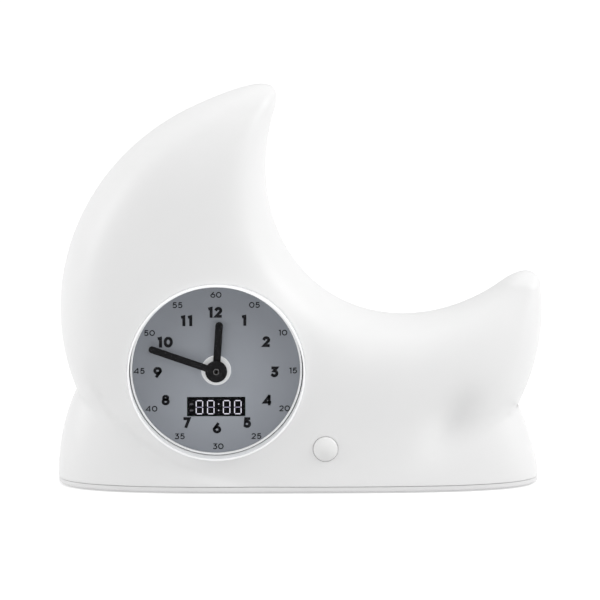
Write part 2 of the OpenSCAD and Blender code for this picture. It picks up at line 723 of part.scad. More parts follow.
// Transfer wheel between both hands' wheels, on the setting stem
module minute_wheel() {
    color("ivory") difference() {
        union() {
            on_front(knob_at, minute_gear_y + gear_t, gear_t)
                rotate(-90 + 180 / minute_teeth[1]) gear(minute_teeth[1], minute_gear_mod);
            on_front(knob_at, minute_gear_y, minute_gear_y - hour_gear_y + 0.3)
                rotate(-90 + 180 / hour_teeth[0]) gear(hour_teeth[0], hour_gear_mod);
        }
        post(knob_at, hour_gear_y - 2, minute_gear_y + 3, stem_tip_r, 32);
    }
}
knob_rim_y = knob_front - 0.8;
knob_back_y = knob_front - 4.8;
module knob_stem() {
    color("ivory") {
        post(knob_at, hour_gear_y - 1.2, minute_gear_y + gear_t, stem_tip_r, 32);
        post(knob_at, minute_gear_y + gear_t, knob_back_y, stem_r);
    }
}
module set_knob() {
    ribs = 18;
    color("white") difference() {
        union() {
            post(knob_at, knob_back_y, knob_rim_y, knob_r, 64);
            translate([dial_x, knob_rim_y, knob_z]) rotate([-90, 0, 0])
                cylinder(h = 0.8, r1 = knob_r, r2 = knob_r - 0.8, $fn = 64);
        }
        for (i = [0:ribs - 1])
            post(knob_at + (knob_r + 0.25) * [cos(i * 360 / ribs), sin(i * 360 / ribs)],
                 knob_back_y - 1, knob_front + 1, 0.6, 16);
    }
}
module knob_cup() {
    color("whitesmoke") difference() {
        post(knob_at, cup_floor_y, cup_surface, knob_cup_r, 64);
        post(knob_at, cup_floor_y + cup_floor_t, past, knob_cup_r - cup_floor_t, 64);
        post(knob_at, 0, past, stem_r + run);
    }
}

case_half = 22;
case_low = 10.6;
case_high = min(26, sqrt(pow(ledge_r, 2) - pow(case_half, 2)) - fit);
case_wall = 1.5;
case_lid = 2;
// Block of the movement from y0 to y1, drawn in by inset
module case_block(inset, y0, y1) {
    span([dial_x - case_half + inset, y0, dial_z - case_low + inset],
         [dial_x + case_half - inset, y1, dial_z + case_high - inset]);
}
module movement_case() {
    color("dimgray") difference() {
        union() {
            case_block(0, case_front, case_back - case_lid);
            post(dial_at, neck_front, case_front, neck_r);
        }
        case_block(case_wall, case_front + case_wall, case_back);
        post(dial_at, neck_front - 1, case_front + 3, tube_r + run);
        post(knob_at, case_front + case_wall - 0.8, case_front + 3, stem_tip_r + run, 32);
    }
}
module movement_back() {
    color("dimgray") difference() {
        case_block(0, case_back - case_lid, case_back);
        post(knob_at, case_back - case_lid - 1, case_back + 1, stem_r + run);
        post(dial_at, case_back - case_lid - 1, case_back - 0.8, arbor_r + run);
    }
}
module movement_coil() {
    middle = [dial_x - 13, case_front + 8, dial_z + case_high - 14];
    half = 9;
    cheek = 3.6;
    back = case_back - case_lid - middle[1];
    color("orangered") translate(middle) {
        translate([0, 0, -half]) cylinder(h = 2 * half, r = cheek - 0.4, $fn = 32);
        for (z = [-half - 1.5, half])
            span([-cheek, -cheek, z], [cheek, back, z + 1.5]);
    }
}

// ---- Display ----

display_board_y = dial_y + 4.2;
module display_module() {
    color("black") window_block(fit, dial_y + 0.1, display_board_y);
}
module display_board() {
    z = [dial_z - window_drop - 6, dial_z - case_low - 0.4];
    color("darkgreen") span([dial_x - 17, display_board_y, z[0]],
                            [dial_x + 17, display_board_y + board_t, z[1]]);
}

// ---- Front button and main board ----

dome_h = 2.2;
dome_base = button_r - 0.3;
dome_r = (pow(dome_base, 2) + pow(dome_h, 2)) / (2 * dome_h);
collar_y = button_guide_y + fit;
collar_t = 1.1;
switch_tip_y = main_board_y - 1.2;
button_stem_y = switch_tip_y - button_travel - 0.1;
module front_button() {
    color("white") {
        translate([button_x, -button_face, button_z]) rotate([90, 0, 0])
            intersection() {
                translate([0, 0, dome_h - dome_r]) sphere(r = dome_r, $fn = 96);
                cylinder(h = 10, r = 2 * button_r, $fn = 64);
            }
        post(button_at, -button_face, collar_y, button_r);
        post(button_at, collar_y, collar_y + collar_t, button_r + 1.3);
        post(button_at, collar_y + collar_t, button_stem_y, 2);
    }
}
module button_switch() {
    color("black") {
        span([button_x - 3, main_board_y - 0.9, button_z - 3],
             [button_x + 3, main_board_y, button_z + 3]);
        post(button_at, switch_tip_y, main_board_y - 0.9, 1.6, 32);
    }
}
module main_board() {
    color("darkgreen") difference() {
        span([main_board_x[0], main_board_y, main_board_z[0]],
             [main_board_x[1], main_board_y + board_t, main_board_z[1]]);
        for (p = main_board_screws)
            post(p, main_board_y - 1, main_board_y + 3, small_screw_r + run, 32);
    }
}

// ---- Night light ----

module led_board(a, b, holes) {
    color("whitesmoke") difference() {
        span([a[0], led_board_y, a[1]], [b[0], led_board_y + board_t, b[1]]);
        for (p = holes)
            post(p, led_board_y - 1, led_board_y + 3, small_screw_r + run, 32);
    }
}
led_edge = [5, 5];
module led_board_left() {
    led_board(led_left_screws[0] - led_edge, led_left_screws[1] + led_edge, led_left_screws);
}
module led_board_right() {
    led_board(led_right_screws[0] - led_edge, led_right_screws[1] + led_edge, led_right_screws);
}
module leds() {
    color("lightyellow") for (t = [0.25, 0.5, 0.75], b = [led_left_screws, led_right_screws]) {
        p = mix(b[0], b[1], t);
        span([p[0] - 2.5, led_board_y - 1.6, p[1] - 2.5], [p[0] + 2.5, led_board_y, p[1] + 2.5]);
    }
}

// ---- Rear controls ----

// Box along Y round the middle of a control at x, half its size each way
module control_block(x, half, y0, y1) {
    span([x - half[0], y0, panel_z - half[1]], [x + half[0], y1, panel_z + half[1]]);
}
board_face = control_board_y + board_t;
lever_half = [2, 1.5];
inlet_half = [4.5, 1.6];
inlet_wall = 0.3;
module control_panel() {
    color("whitesmoke") difference() {
        panel_block(0, panel_y, panel_y + panel_t);
        for (x = key_x)
            post([x, panel_z], panel_y - 1, panel_y + 4, key_r + fit);
        control_block(switch_x, lever_half + [switch_travel / 2 + fit, fit], panel_y - 1, panel_y + 4);
        control_block(inlet_x, inlet_half + [0.15, 0.15], panel_y - 1, panel_y + 4);
    }
}
key_front = panel_y + panel_t + 1.2;
key_edge = 0.5;
key_switch_tip = board_face + 1.8;
module key(x) {
    at = [x, panel_z];
    color("white") {
        post(at, panel_y - fit, key_front - key_edge, key_r);
        translate([x, key_front - key_edge, panel_z]) rotate([-90, 0, 0])
            cylinder(h = key_edge, r1 = key_r, r2 = key_r - key_edge, $fn = 48);
        post(at, panel_y - fit - 1.2, panel_y - fit, key_r + 1);
        post(at, key_switch_tip + key_travel + 0.1, panel_y - fit - 1.2, 1.5, 32);
    }
}
module light_key() { key(key_x[0]); }
module hour_key() { key(key_x[1]); }
module minute_key() { key(key_x[2]); }
module key_switches() {
    color("black") for (x = key_x) {
        control_block(x, [3, 3], board_face, board_face + 1.4);
        post([x, panel_z], board_face + 1.4, key_switch_tip, 1.2, 32);
    }
}
module alarm_switch() {
    x = switch_x - switch_travel / 2;
    color("dimgray") {
        control_block(x, lever_half, panel_y - 1.2, panel_y + panel_t + 0.8);
        control_block(x, lever_half + [1.4, 0.9], panel_y - 1.8, panel_y - fit);
    }
}
module switch_body() {
    color("silver") control_block(switch_x - 0.2, [5.2, 3.2], board_face, panel_y - 2.1);
}
module control_board() {
    color("darkgreen") difference() {
        span([panel_x - 30, control_board_y, shell_z + boss_h + board_gap],
             [panel_x + 30, board_face, panel_z + 17]);
        for (p = control_screws)
            post(p, control_board_y - 1, control_board_y + 3, small_screw_r + run, 32);
    }
}
module power_inlet() {
    color("silver") difference() {
        control_block(inlet_x, inlet_half, board_face, panel_y + panel_t - fit);
        control_block(inlet_x, inlet_half - [inlet_wall, inlet_wall], board_face + 0.8, past);
    }
}

// ---- Fasteners ----

module case_screws() {
    color("silver") for (p = case_screw_at) {
        post(p, screw_seat, screw_seat + screw_head_h, screw_head_r, 32);
        post(p, -screw_reach, screw_seat, screw_r, 32);
    }
}
module base_screws() {
    color("silver") for (p = base_screw_at) {
        stud(p, plate_z + 0.2, base_head_h, screw_head_r);
        stud(p, plate_z + 0.2 + base_head_h, boss_h - 2.6, screw_r);
    }
}
// Small screw that holds a board from the front (dir -1) or from behind (dir 1)
module board_screw(p, y, dir) {
    head = y + dir * small_head_h;
    tip = y - dir * (board_t + small_reach);
    post(p, min(y, head), max(y, head), small_head_r, 32);
    post(p, min(y, tip), max(y, tip), small_screw_r, 32);
}
module board_screws() {
    color("silver") {
        for (p = main_board_screws)
            board_screw(p, main_board_y + board_t, 1);
        for (p = concat(led_left_screws, led_right_screws))
            board_screw(p, led_board_y, -1);
        for (p = control_screws)
            board_screw(p, control_board_y, -1);
    }
}

front_shell();
rear_shell();
base_plate();
rubber_feet();
battery_door();
door_screw();
battery_box();
batteries();
battery_contacts();
dial();
lens();
dial_nut();
hour_hand();
minute_hand();
hand_cap();
minute_arbor();
hour_wheel();
minute_wheel();
movement_case();
movement_back();
movement_coil();
knob_stem();
set_knob();
knob_cup();
display_module();
display_board();
front_button();
button_switch();
main_board();
led_board_left();
led_board_right();
leds();
speaker();
control_panel();
light_key();
hour_key();
minute_key();
alarm_switch();
switch_body();
key_switches();
control_board();
power_inlet();
case_screws();
base_screws();
board_screws();
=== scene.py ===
"""Crescent-moon alarm clock with a night light.

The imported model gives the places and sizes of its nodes. Shapes are worked out in millimetres,
in the model's own frame (+Z up, front towards -Y), and turn into metres when they become a mesh.
"""
import json
import math

import bmesh
import bpy
import numpy as np
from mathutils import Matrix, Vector

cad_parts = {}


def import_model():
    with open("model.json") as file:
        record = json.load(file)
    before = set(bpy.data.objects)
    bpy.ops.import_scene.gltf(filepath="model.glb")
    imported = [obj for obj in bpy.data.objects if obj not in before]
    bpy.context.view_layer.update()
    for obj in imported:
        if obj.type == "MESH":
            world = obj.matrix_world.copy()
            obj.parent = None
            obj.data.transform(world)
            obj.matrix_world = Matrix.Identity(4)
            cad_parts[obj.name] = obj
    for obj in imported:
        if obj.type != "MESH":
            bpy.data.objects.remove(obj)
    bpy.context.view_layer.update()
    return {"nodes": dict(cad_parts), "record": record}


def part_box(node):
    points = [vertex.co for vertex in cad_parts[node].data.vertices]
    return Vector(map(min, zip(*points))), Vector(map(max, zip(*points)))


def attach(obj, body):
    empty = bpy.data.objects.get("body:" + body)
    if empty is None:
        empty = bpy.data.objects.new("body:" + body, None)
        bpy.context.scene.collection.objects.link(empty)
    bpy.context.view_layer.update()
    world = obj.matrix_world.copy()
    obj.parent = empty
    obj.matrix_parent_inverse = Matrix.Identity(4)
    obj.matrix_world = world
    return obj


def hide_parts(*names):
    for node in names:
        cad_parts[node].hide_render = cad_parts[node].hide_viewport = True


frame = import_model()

NODES = frame["nodes"]
SLOT_OF = {part["node"]: part["material_slot"] for part in frame["record"]["subparts"]}
BODY_OF = {node: body for body, nodes in frame["record"]["behaviour"]["bodies"].items()
           for node in nodes}
MM = 0.001


# ---- Sizes of the body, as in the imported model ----

# The moon's outline and its hollow are parts of two ellipses: middle, radii, turn, and the
# angles from the upper horn round to the right one
MOON_MIDDLE = np.array([0.6, 79.8])
MOON_RADII = (110.8, 104.0)
MOON_ANGLES = (116.2, 365.8)
HOLLOW_MIDDLE = MOON_MIDDLE + (56.6, 76.0)
HOLLOW_RADII = (82.1, 70.1)
HOLLOW_TURN = 61.9
HOLLOW_ANGLES = (103.1, 240.8)
# How far the curve of each horn's tip is pulled out, at the outline and at the hollow
UPPER_TIP_PULL = (33.9, 16.0)
RIGHT_TIP_PULL = (4.5, 16.6)
TANGENT_STEP = 0.001

# Cushion of the moon: its depth, how soon it is reached, the power of its round edge, what a
# broad rung adds to that, and the half width of a broad rung
MOON_DEPTH = 39.6
CUSHION_RISE = 1.15
EDGE_POWER, BROAD_POWER = 2.2, 2.4
BROAD = 55

# Pedestal: middle, width, depth and squareness of its foot, draw-in and power of each side's
# flare, lean of its front, and the height at which it has sunk into the moon
FOOT_X, FOOT_W, FOOT_D = -0.8, 221.2, 77.0
FOOT_POWER = 3.4
FLARE_LEFT, FLARE_RIGHT = (9.0, 2.2), (13.0, 1.5)
FLARE_HEIGHT = 40
FOOT_LEAN = 0.18
FOOT_TOP = 62.0

# Crease between moon and pedestal, full where the skin is this deep
CREASE_FRONT, CREASE_REAR = 2.6, 5.0
CREASE_FULL = 14

# Valley on the left: middle height and radii of the ellipse that it follows, its reach to each
# side of that, its depth, and the drop below the middle at which it is full
VALLEY_Z = 62.0
VALLEY_RADII = (94.5, 59.5)
VALLEY_INSIDE, VALLEY_OUTSIDE = 11.0, 2.6
VALLEY_DEPTH = 3.3
VALLEY_DROP = 20

# Dip on the right: middle, reach along and across its turned axis, and depth
DIP_MIDDLE = np.array([68.3, 31.4])
DIP_REACH = (15.5, 8.8)
DIP_TURN = 51.0
DIP_DEPTH = 6.8
# Depth of the skin where valley and dip are full
SUNK_FULL = 30

# Wall, and the most of its room that it takes; height of the shells' lower edge; clearance of
# pieces that drop in
WALL, WALL_SHARE = 2.2, 0.45
SHELL_Z = 3.2
FIT = 0.3
# Chamfer at the parting line: its height, its width for that height, the room that it needs,
# and how near the pinches it fades, down to its least share
SEAM, SEAM_WIDTH = 0.3, 0.8
SEAM_ROOM = 4
PINCH_REACH, SEAM_LEAST = 5, 0.1

# Rungs in a horn's tip, along the left of the moon (half as many on its right), down a side
# and across the foot, the power that spaces those, and the cells across a rung
TIP_RUNGS, ARC_RUNGS, SIDE_RUNGS, FOOT_RUNGS = 14, 64, 22, 104
FOOT_SPREAD = 0.8
CELLS = 96

# Kinds of rung: end on the parting plane, at a foot corner, on the foot's edge, a horn's tip
OPEN, CORNER, FOOT, TIP = range(4)


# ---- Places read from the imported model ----

def span(node):
    """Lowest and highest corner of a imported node, in millimetres."""
    low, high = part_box(node)
    return np.array(low) / MM, np.array(high) / MM


def front_middle(node):
    """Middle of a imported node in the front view, (x, z)."""
    low, high = span(node)
    return ((low + high) / 2)[[0, 2]]


def radius_of(node):
    """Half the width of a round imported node."""
    low, high = span(node)
    return (high - low)[0] / 2


DIAL = front_middle("dial")
DIAL_R = radius_of("dial")
DIAL_Y = span("dial")[0][1]
LENS_R = radius_of("lens")
LENS_FRONT, LENS_BACK = span("lens")[0][1], span("lens")[1][1]
BUTTON = front_middle("front_button")
KNOB = front_middle("set_knob")
CUP_R = radius_of("knob_cup")

# The button's radius and rise, and how far below its apex its guide ends and its collar rests
BUTTON_R, BUTTON_RISE = 5.6, 2.2
GUIDE_END, COLLAR_FACE = 8.0, 8.3
# The case screws' heads: seat, height and the bore round them
SCREW_SEAT, SCREW_HEAD = 8.0, 2.2
HEAD_BORE = 3.3


# ---- Shapes ----

def mix(a, b, t):
    """Share t of the way from a to b."""
    return a + (b - a) * t


def unit(v):
    """Each vector of an array at length one."""
    return v / np.maximum(np.linalg.norm(v, axis=-1, keepdims=True), 1e-9)


def ellipse_point(centre, radii, turn, degrees):
    """Centre plus the radii's cosine and sine at an angle, turned as a whole."""
    a, t = math.radians(turn), np.radians(np.asarray(degrees, float))
    x, z = radii[0] * np.cos(t), radii[1] * np.sin(t)
    return np.stack([centre[0] + x * math.cos(a) - z * math.sin(a),
                     centre[1] + x * math.sin(a) + z * math.cos(a)], -1)


def outer_arc(t):
    """Point of the moon's outline, t from 0 at the upper horn to 1 at the right one."""
    return ellipse_point(MOON_MIDDLE, MOON_RADII, 0, mix(*MOON_ANGLES, np.asarray(t, float)))


def hollow_arc(t):
    """Point of the hollow's outline that faces the outer arc at t."""
    return ellipse_point(HOLLOW_MIDDLE, HOLLOW_RADII, HOLLOW_TURN,
                         mix(*HOLLOW_ANGLES, np.asarray(t, float)))


def bezier(handles, t):
    """Cubic curve of four handles, summed with the binomial weights at each t."""
    t = np.asarray(t, float)[:, None]
    return ((1 - t) ** 3 * handles[0] + 3 * t * (1 - t) ** 2 * handles[1]
            + 3 * t * t * (1 - t) * handles[2] + t ** 3 * handles[3])


def horn_tip(end, step, pull):
    """Handles of the curve that leaves the outer arc along its tangent and joins the hollow."""
    outer, hollow = outer_arc(end), hollow_arc(end)
    return (outer, outer + unit(outer - outer_arc(end + step)) * pull[0],
            hollow + unit(hollow - hollow_arc(end + step)) * pull[1], hollow)


def foot_half_width(x, z):
    """Half the foot's width, less the draw-in that grows with a power of the height."""
    h = np.maximum(0, z - SHELL_Z) / FLARE_HEIGHT
    left = FLARE_LEFT[0] * h ** FLARE_LEFT[1]
    right = FLARE_RIGHT[0] * h ** FLARE_RIGHT[1]
    return FOOT_W / 2 - np.where(x < FOOT_X, left, right)


def side_x(side, z):
    """Place of the pedestal's left or right side at a height."""
    return FOOT_X + side * foot_half_width(FOOT_X + side, z)


def foot_depth(x, z):
    """Depth that leans in with height, sinks into the moon as a fourth power and follows a
    squared-off ellipse across."""
    h = np.maximum(0, z - SHELL_Z)
    q = np.clip(np.abs(x - FOOT_X) / foot_half_width(x, z), 0, 1)
    sunk = np.sqrt(np.clip(1 - (h / FOOT_TOP) ** 4, 0, 1))
    return (FOOT_D / 2 - FOOT_LEAN * h) * sunk * (1 - q ** FOOT_POWER) ** (1 / FOOT_POWER)


def moon_depth(edge, inner, p):
    """Cushion on a rung: flat in the middle and round at both ends, shallower where the rung
    is short, by the hyperbolic tangent of its half width."""
    half = np.linalg.norm(edge - inner, axis=-1) / 2
    q = np.clip(np.abs(np.linalg.norm(p - inner, axis=-1) / np.maximum(half, 0.001) - 1), 0, 1)
    power = EDGE_POWER + BROAD_POWER * np.minimum(1, half / BROAD)
    high = MOON_DEPTH * np.tanh(CUSHION_RISE * half / MOON_DEPTH)
    return high * (1 - q ** power) ** (1 / EDGE_POWER)


def crease(a, b, radius):
    """The larger of two depths, with a soft fillet where they cross: the square of how far
    they are within the radius of each other."""
    top = np.maximum(a, b)
    r = np.maximum(radius * np.minimum(1, top / CREASE_FULL), 1e-6)
    return top + np.maximum(0, r - np.abs(a - b)) ** 2 / (4 * r)


def left_valley(x, z):
    """Soft valley along the left of the moon's lower outline, an ellipse: a bell curve of the
    distance from it, with its own reach on each side, deeper towards the end."""
    share = np.hypot(x / VALLEY_RADII[0], (z - VALLEY_Z) / VALLEY_RADII[1])
    d = (share - 1) * VALLEY_RADII[1]
    bell = np.exp(-(d / np.where(d < 0, VALLEY_INSIDE, VALLEY_OUTSIDE)) ** 2)
    return bell * VALLEY_DEPTH * np.clip((VALLEY_Z - z) / VALLEY_DROP, 0, 1) * np.clip(
        -x / VALLEY_RADII[0], 0, 1)


def right_dip(x, z):
    """Soft dip between the moon and the foot on the right: a bell curve of the distances
    along and across its turned axis."""
    a = math.radians(DIP_TURN)
    u, v = x - DIP_MIDDLE[0], z - DIP_MIDDLE[1]
    along, across = u * math.cos(a) + v * math.sin(a), u * math.sin(a) - v * math.cos(a)
    return DIP_DEPTH * np.exp(-(along / DIP_REACH[0]) ** 2 - (across / DIP_REACH[1]) ** 2)


def body_depth(edge, inner, p, side):
    """Depth of the skin at p, on the rung from the moon's edge to the hollow. The front half,
    side -1, has a sharper crease, the valley and the dip; the rear half, side 1, is softer."""
    moon, foot = moon_depth(edge, inner, p), foot_depth(p[..., 0], p[..., 1])
    if side > 0:
        return crease(moon, foot, CREASE_REAR)
    top = crease(moon, foot, CREASE_FRONT)
    sunk = left_valley(p[..., 0], p[..., 1]) + right_dip(p[..., 0], p[..., 1])
    return top - sunk * np.clip(top / SUNK_FULL, 0, 1) ** 2


def halving(wanted, low, high, rounds=30):
    """Where a yes-or-no test of t changes from yes to no, for whole arrays at once."""
    for _ in range(rounds):
        t = (low + high) / 2
        yes = wanted(t)
        low, high = np.where(yes, t, low), np.where(yes, high, t)
    return (low + high) / 2


def pinch(side, low, high):
    """Place on the outer arc, between low and high, where it crosses the foot's side."""
    def outside(t):
        """Whether the arc lies beyond the side, or within it on the right."""
        p = outer_arc(t)
        wide = side * (p[..., 0] - side_x(side, p[..., 1])) > 0
        return wide == (side < 0)
    return halving(outside, np.array(low), np.array(high))


PINCH_LEFT = pinch(-1, 0.26, 0.45)
PINCH_RIGHT = pinch(1, 0.78, 0.95)
PAST_PINCH = 0.02


def rung_through(p, low, high):
    """Place t whose line from hollow to outer arc passes through each point, found by the
    side of the line on which the point lies."""
    def before(t):
        """Whether the cross product of the line and the way to the point is above nothing."""
        a = hollow_arc(t)
        b, c = outer_arc(t) - a, p - a
        return b[..., 0] * c[..., 1] - b[..., 1] * c[..., 0] > 0
    size = p.shape[:-1]
    return halving(before, np.full(size, float(low)), np.full(size, float(high)))


def skin_depth(ring, side):
    """Depth of the body's skin from the parting plane at points of the front view."""
    t = rung_through(ring, 0, 1)
    return body_depth(outer_arc(t), hollow_arc(t), ring, side)


def body_rungs():
    """Lines across the body in the front view, from the upper horn round the outline to the
    right horn: outline end, the moon's own edge, hollow end and kind. A tip's rungs join the
    two halves of its curve, the others start at even steps along the arcs and the sides, and
    the foot's at a power of the cosine."""
    def tip_rungs(handles, u):
        """From one half of the tip's curve to the other, each a share u from its middle."""
        a, b = bezier(handles, 0.5 - u / 2), bezier(handles, 0.5 + u / 2)
        return a, a, b, np.where(u == 0, TIP, OPEN)

    def arc_rungs(t):
        """From the outer arc to the hollow."""
        return outer_arc(t), outer_arc(t), hollow_arc(t), np.full(len(t), OPEN)

    def edge_rungs(x, z, kind):
        """From the pedestal's edge along the rung that passes through it."""
        p = np.stack([x, z], -1)
        t = rung_through(p, PINCH_LEFT - PAST_PINCH, PINCH_RIGHT + PAST_PINCH)
        return p, outer_arc(t), hollow_arc(t), kind

    def side_rungs(sign, z):
        """From one side of the pedestal, the lowest from the foot's corner."""
        return edge_rungs(side_x(sign, z), z, np.where(z == SHELL_Z, CORNER, OPEN))

    c = np.cos(np.arange(1, FOOT_RUNGS) * np.pi / FOOT_RUNGS)
    across = FOOT_X - FOOT_W / 2 * np.sign(c) * np.abs(c) ** FOOT_SPREAD
    u = np.arange(TIP_RUNGS) / TIP_RUNGS
    left_z, right_z = outer_arc(PINCH_LEFT)[1], outer_arc(PINCH_RIGHT)[1]
    parts = [
        tip_rungs(horn_tip(0, TANGENT_STEP, UPPER_TIP_PULL), u),
        arc_rungs(np.linspace(0, PINCH_LEFT, ARC_RUNGS)),
        side_rungs(-1, np.linspace(left_z, SHELL_Z, SIDE_RUNGS + 1)[1:]),
        edge_rungs(across, np.full(len(across), SHELL_Z), np.full(len(across), FOOT)),
        side_rungs(1, np.linspace(SHELL_Z, right_z, SIDE_RUNGS + 1)[:-1]),
        arc_rungs(np.linspace(PINCH_RIGHT, 1, ARC_RUNGS // 2)),
        tip_rungs(horn_tip(1, -TANGENT_STEP, RIGHT_TIP_PULL), u[::-1]),
    ]
    return [np.concatenate(column) for column in zip(*parts)]


def inward_normals(skin, start, kind):
    """Cross product of the grid's two directions, at length one. It lies in the parting plane
    at a rung's open ends, in the ground plan at the foot, and points to the next rung's middle
    at a horn's tip."""
    along, over = np.gradient(skin, axis=(0, 1))
    inward = np.cross(over, along)
    flat = np.zeros(len(kind))
    first, last = along[:, 0], along[:, -1]
    foot, corner = kind == FOOT, kind == CORNER
    inward[:, 0] = np.stack([-first[:, 2], flat, first[:, 0]], -1)
    inward[foot, 0] = np.stack([-first[:, 1], first[:, 0], flat], -1)[foot]
    inward[corner, 0] = np.stack([np.sign(FOOT_X - start[:, 0]), flat, flat], -1)[corner]
    inward[:, -1] = np.stack([last[:, 2], flat, -last[:, 0]], -1)
    for row, neighbour in ((0, 1), (-1, -2)):
        inward[row] = skin[neighbour, CELLS // 2] * (1, 0, 1) - skin[row]
    return unit(inward)


def half_shell_points(side):
    """Half of the body as a hollow skin: each rung is a closed loop that runs across the
    outside, turns at the parting plane or the foot, and comes back across the inside. Its
    points crowd at both ends as a cosine does. It is worked out as a front half, and mirrored
    where side is 1."""
    start, edge, end, kind = body_rungs()
    share = (1 - np.cos(np.pi * np.arange(CELLS + 1) / CELLS)) / 2
    p = start[:, None] + share[None, :, None] * (end - start)[:, None]
    depth = body_depth(edge[:, None], end[:, None], p, side)
    open_end = np.zeros(depth.shape, bool)
    open_end[:, -1] = True
    open_end[:, 0] = kind != FOOT
    open_end[kind == TIP] = True
    depth = np.where(open_end, 0, depth)
    skin = np.stack([p[..., 0], -depth, p[..., 1]], -1)
    inward = inward_normals(skin, start, kind)

    room = np.minimum(depth.max(1), np.linalg.norm(end - start, axis=1) / 2)
    wall = np.minimum(WALL, WALL_SHARE * room)[:, None, None]
    inside = skin + wall * inward
    inside[..., 1] = np.where(open_end, 0, np.minimum(inside[..., 1], 0))
    inside[np.isin(kind, (FOOT, CORNER)), 0, 2] = SHELL_Z

    # the parting line and the foot's lower edge end in a small chamfer
    apart = np.minimum(*(np.linalg.norm(start - outer_arc(t), axis=1)
                         for t in (PINCH_LEFT, PINCH_RIGHT)))
    fade = np.minimum(np.minimum(1, room / SEAM_ROOM),
                      np.clip(apart / PINCH_REACH, SEAM_LEAST, 1))
    step = SEAM * fade[:, None]
    back = np.where((kind == FOOT)[:, None], (0, 0, 1), (0, -1, 0)) * step
    back[kind == CORNER, 2] = step[kind == CORNER, 0]
    shoulder_a, shoulder_b = skin[:, 0] + back, skin[:, -1] + (0, -1, 0) * step
    lip_a = skin[:, 0] + inward[:, 0] * step * SEAM_WIDTH
    lip_b = skin[:, -1] + inward[:, -1] * step * SEAM_WIDTH
    loops = np.concatenate([lip_a[:, None], shoulder_a[:, None], skin[:, 1:-1],
                            shoulder_b[:, None], lip_b[:, None], inside[:, ::-1]], 1)
    return loops * (1, -side, 1)


def grid_faces(rows, columns, wrap_rows=False, wrap_columns=False):
    """Four-sided faces of points stored row by row, joined end to end where a wrap says so."""
    r = np.arange(rows if wrap_rows else rows - 1)[:, None]
    c = np.arange(columns if wrap_columns else columns - 1)[None, :]
    r2, c2 = (r + 1) % rows, (c + 1) % columns
    return np.stack([r * columns + c, r * columns + c2, r2 * columns + c2,
                     r2 * columns + c], -1).reshape(-1, 4).tolist()


def rectangle(low, high):
    """Four corners, from the lowest one round."""
    return [(low[0], low[1]), (high[0], low[1]), (high[0], high[1]), (low[0], high[1])]


def rounded(corners, radius, steps=6):
    """Closed outline through the corners, each one cut by an arc of the radius that touches
    both of its sides."""
    corners = np.asarray(corners, float)
    radius = np.broadcast_to(np.asarray(radius, float), len(corners))
    outline = []
    for i, r in enumerate(radius):
        here, before, after = corners[i], corners[i - 1], corners[(i + 1) % len(corners)]
        if r == 0:
            outline.append(here[None])
            continue
        a, b = unit(before - here), unit(after - here)
        half = math.acos(np.clip(a @ b, -1, 1)) / 2
        centre = here + unit(a + b) * r / math.sin(half)
        start, end = (here + v * r / math.tan(half) - centre for v in (a, b))
        turn = math.atan2(start[0] * end[1] - start[1] * end[0], start @ end)
        angle = np.linspace(0, turn, steps + 1)[:, None]
        outline.append(centre + start * np.cos(angle)
                       + np.array([-start[1], start[0]]) * np.sin(angle))
    return np.concatenate(outline)


def ring_of(centre, radius, steps=64):
    """Circle: centre plus the radius times the cosine and sine of even angles."""
    a = np.linspace(0, 2 * np.pi, steps, endpoint=False)
    return np.asarray(centre) + radius * np.stack([np.cos(a), np.sin(a)], -1)


def outline_inset(outline, inset):
    """Outline moved inwards by the mean of the normals of its two sides, and further at a
    sharp corner."""
    following, before = np.roll(outline, -1, 0), np.roll(outline, 1, 0)
    ahead, behind = following - outline, outline - before
    area = (outline[:, 0] * following[:, 1] - outline[:, 1] * following[:, 0]).sum()
    side = unit(unit(ahead) + unit(behind)) * (1 if area > 0 else -1)
    lean = np.clip((side * unit(ahead)).sum(-1) * np.sign(area), 0.5, 1)
    return outline + np.stack([-side[:, 1], side[:, 0]], -1) * (inset / lean)[:, None]


# Order of axes that stands an outline in the front view or lays it in the ground plan
FRONT, FLAT = (0, 2, 1), (0, 1, 2)


def stacked(rows, plane=FRONT, tube=False):
    """Closed solid through outlines, each with its level or levels along the third axis. It
    has flat ends, or as a tube its last outline joins the first. Gives points and faces."""
    n, count = len(rows[0][0]), len(rows)
    points = [np.column_stack([outline, np.broadcast_to(level, n)]) for outline, level in rows]
    faces = grid_faces(count, n, wrap_rows=tube, wrap_columns=True)
    if not tube:
        faces += [list(range(n)), list(range((count - 1) * n, count * n))]
    return np.concatenate(points)[:, plane], faces


def slab(outline, back, face, edge=0.0, plane=FRONT, steps=4):
    """Plate between two planes, with its face's edge rounded by a quarter circle."""
    toward = np.sign(face - back)
    rows = [(outline, back)]
    for a in np.linspace(0, np.pi / 2, steps + 1) if edge else [0]:
        rows.append((outline_inset(outline, edge * (1 - math.cos(a))),
                     face - toward * edge * (1 - math.sin(a))))
    return stacked(rows, plane)


def lathe(profile, centre, steps=96, flutes=None):
    """Profile of (radius, place along Y) turned about the axis through centre. It runs from
    axis to axis, or closes on itself. flutes gives a factor on the radius for each angle."""
    profile = np.asarray(profile, float)
    a = np.linspace(0, 2 * np.pi, steps, endpoint=False)
    swell = np.ones(steps) if flutes is None else flutes(a)
    r = profile[:, :1] * swell[None, :]
    points = np.stack([centre[0] + r * np.cos(a), centre[1] + r * np.sin(a),
                       np.repeat(profile[:, 1:], steps, 1)], -1)
    closed = profile[0, 0] > 0
    faces = grid_faces(len(profile), steps, wrap_rows=closed, wrap_columns=True)
    return points.reshape(-1, 3)[:, FRONT], faces


def joined(parts):
    """Several (points, faces) as one."""
    points, faces, count = [], [], 0
    for p, f in parts:
        points.append(p)
        faces += [[i + count for i in face] for face in f]
        count += len(p)
    return np.concatenate(points), faces


# ---- Putting pieces into the scene ----

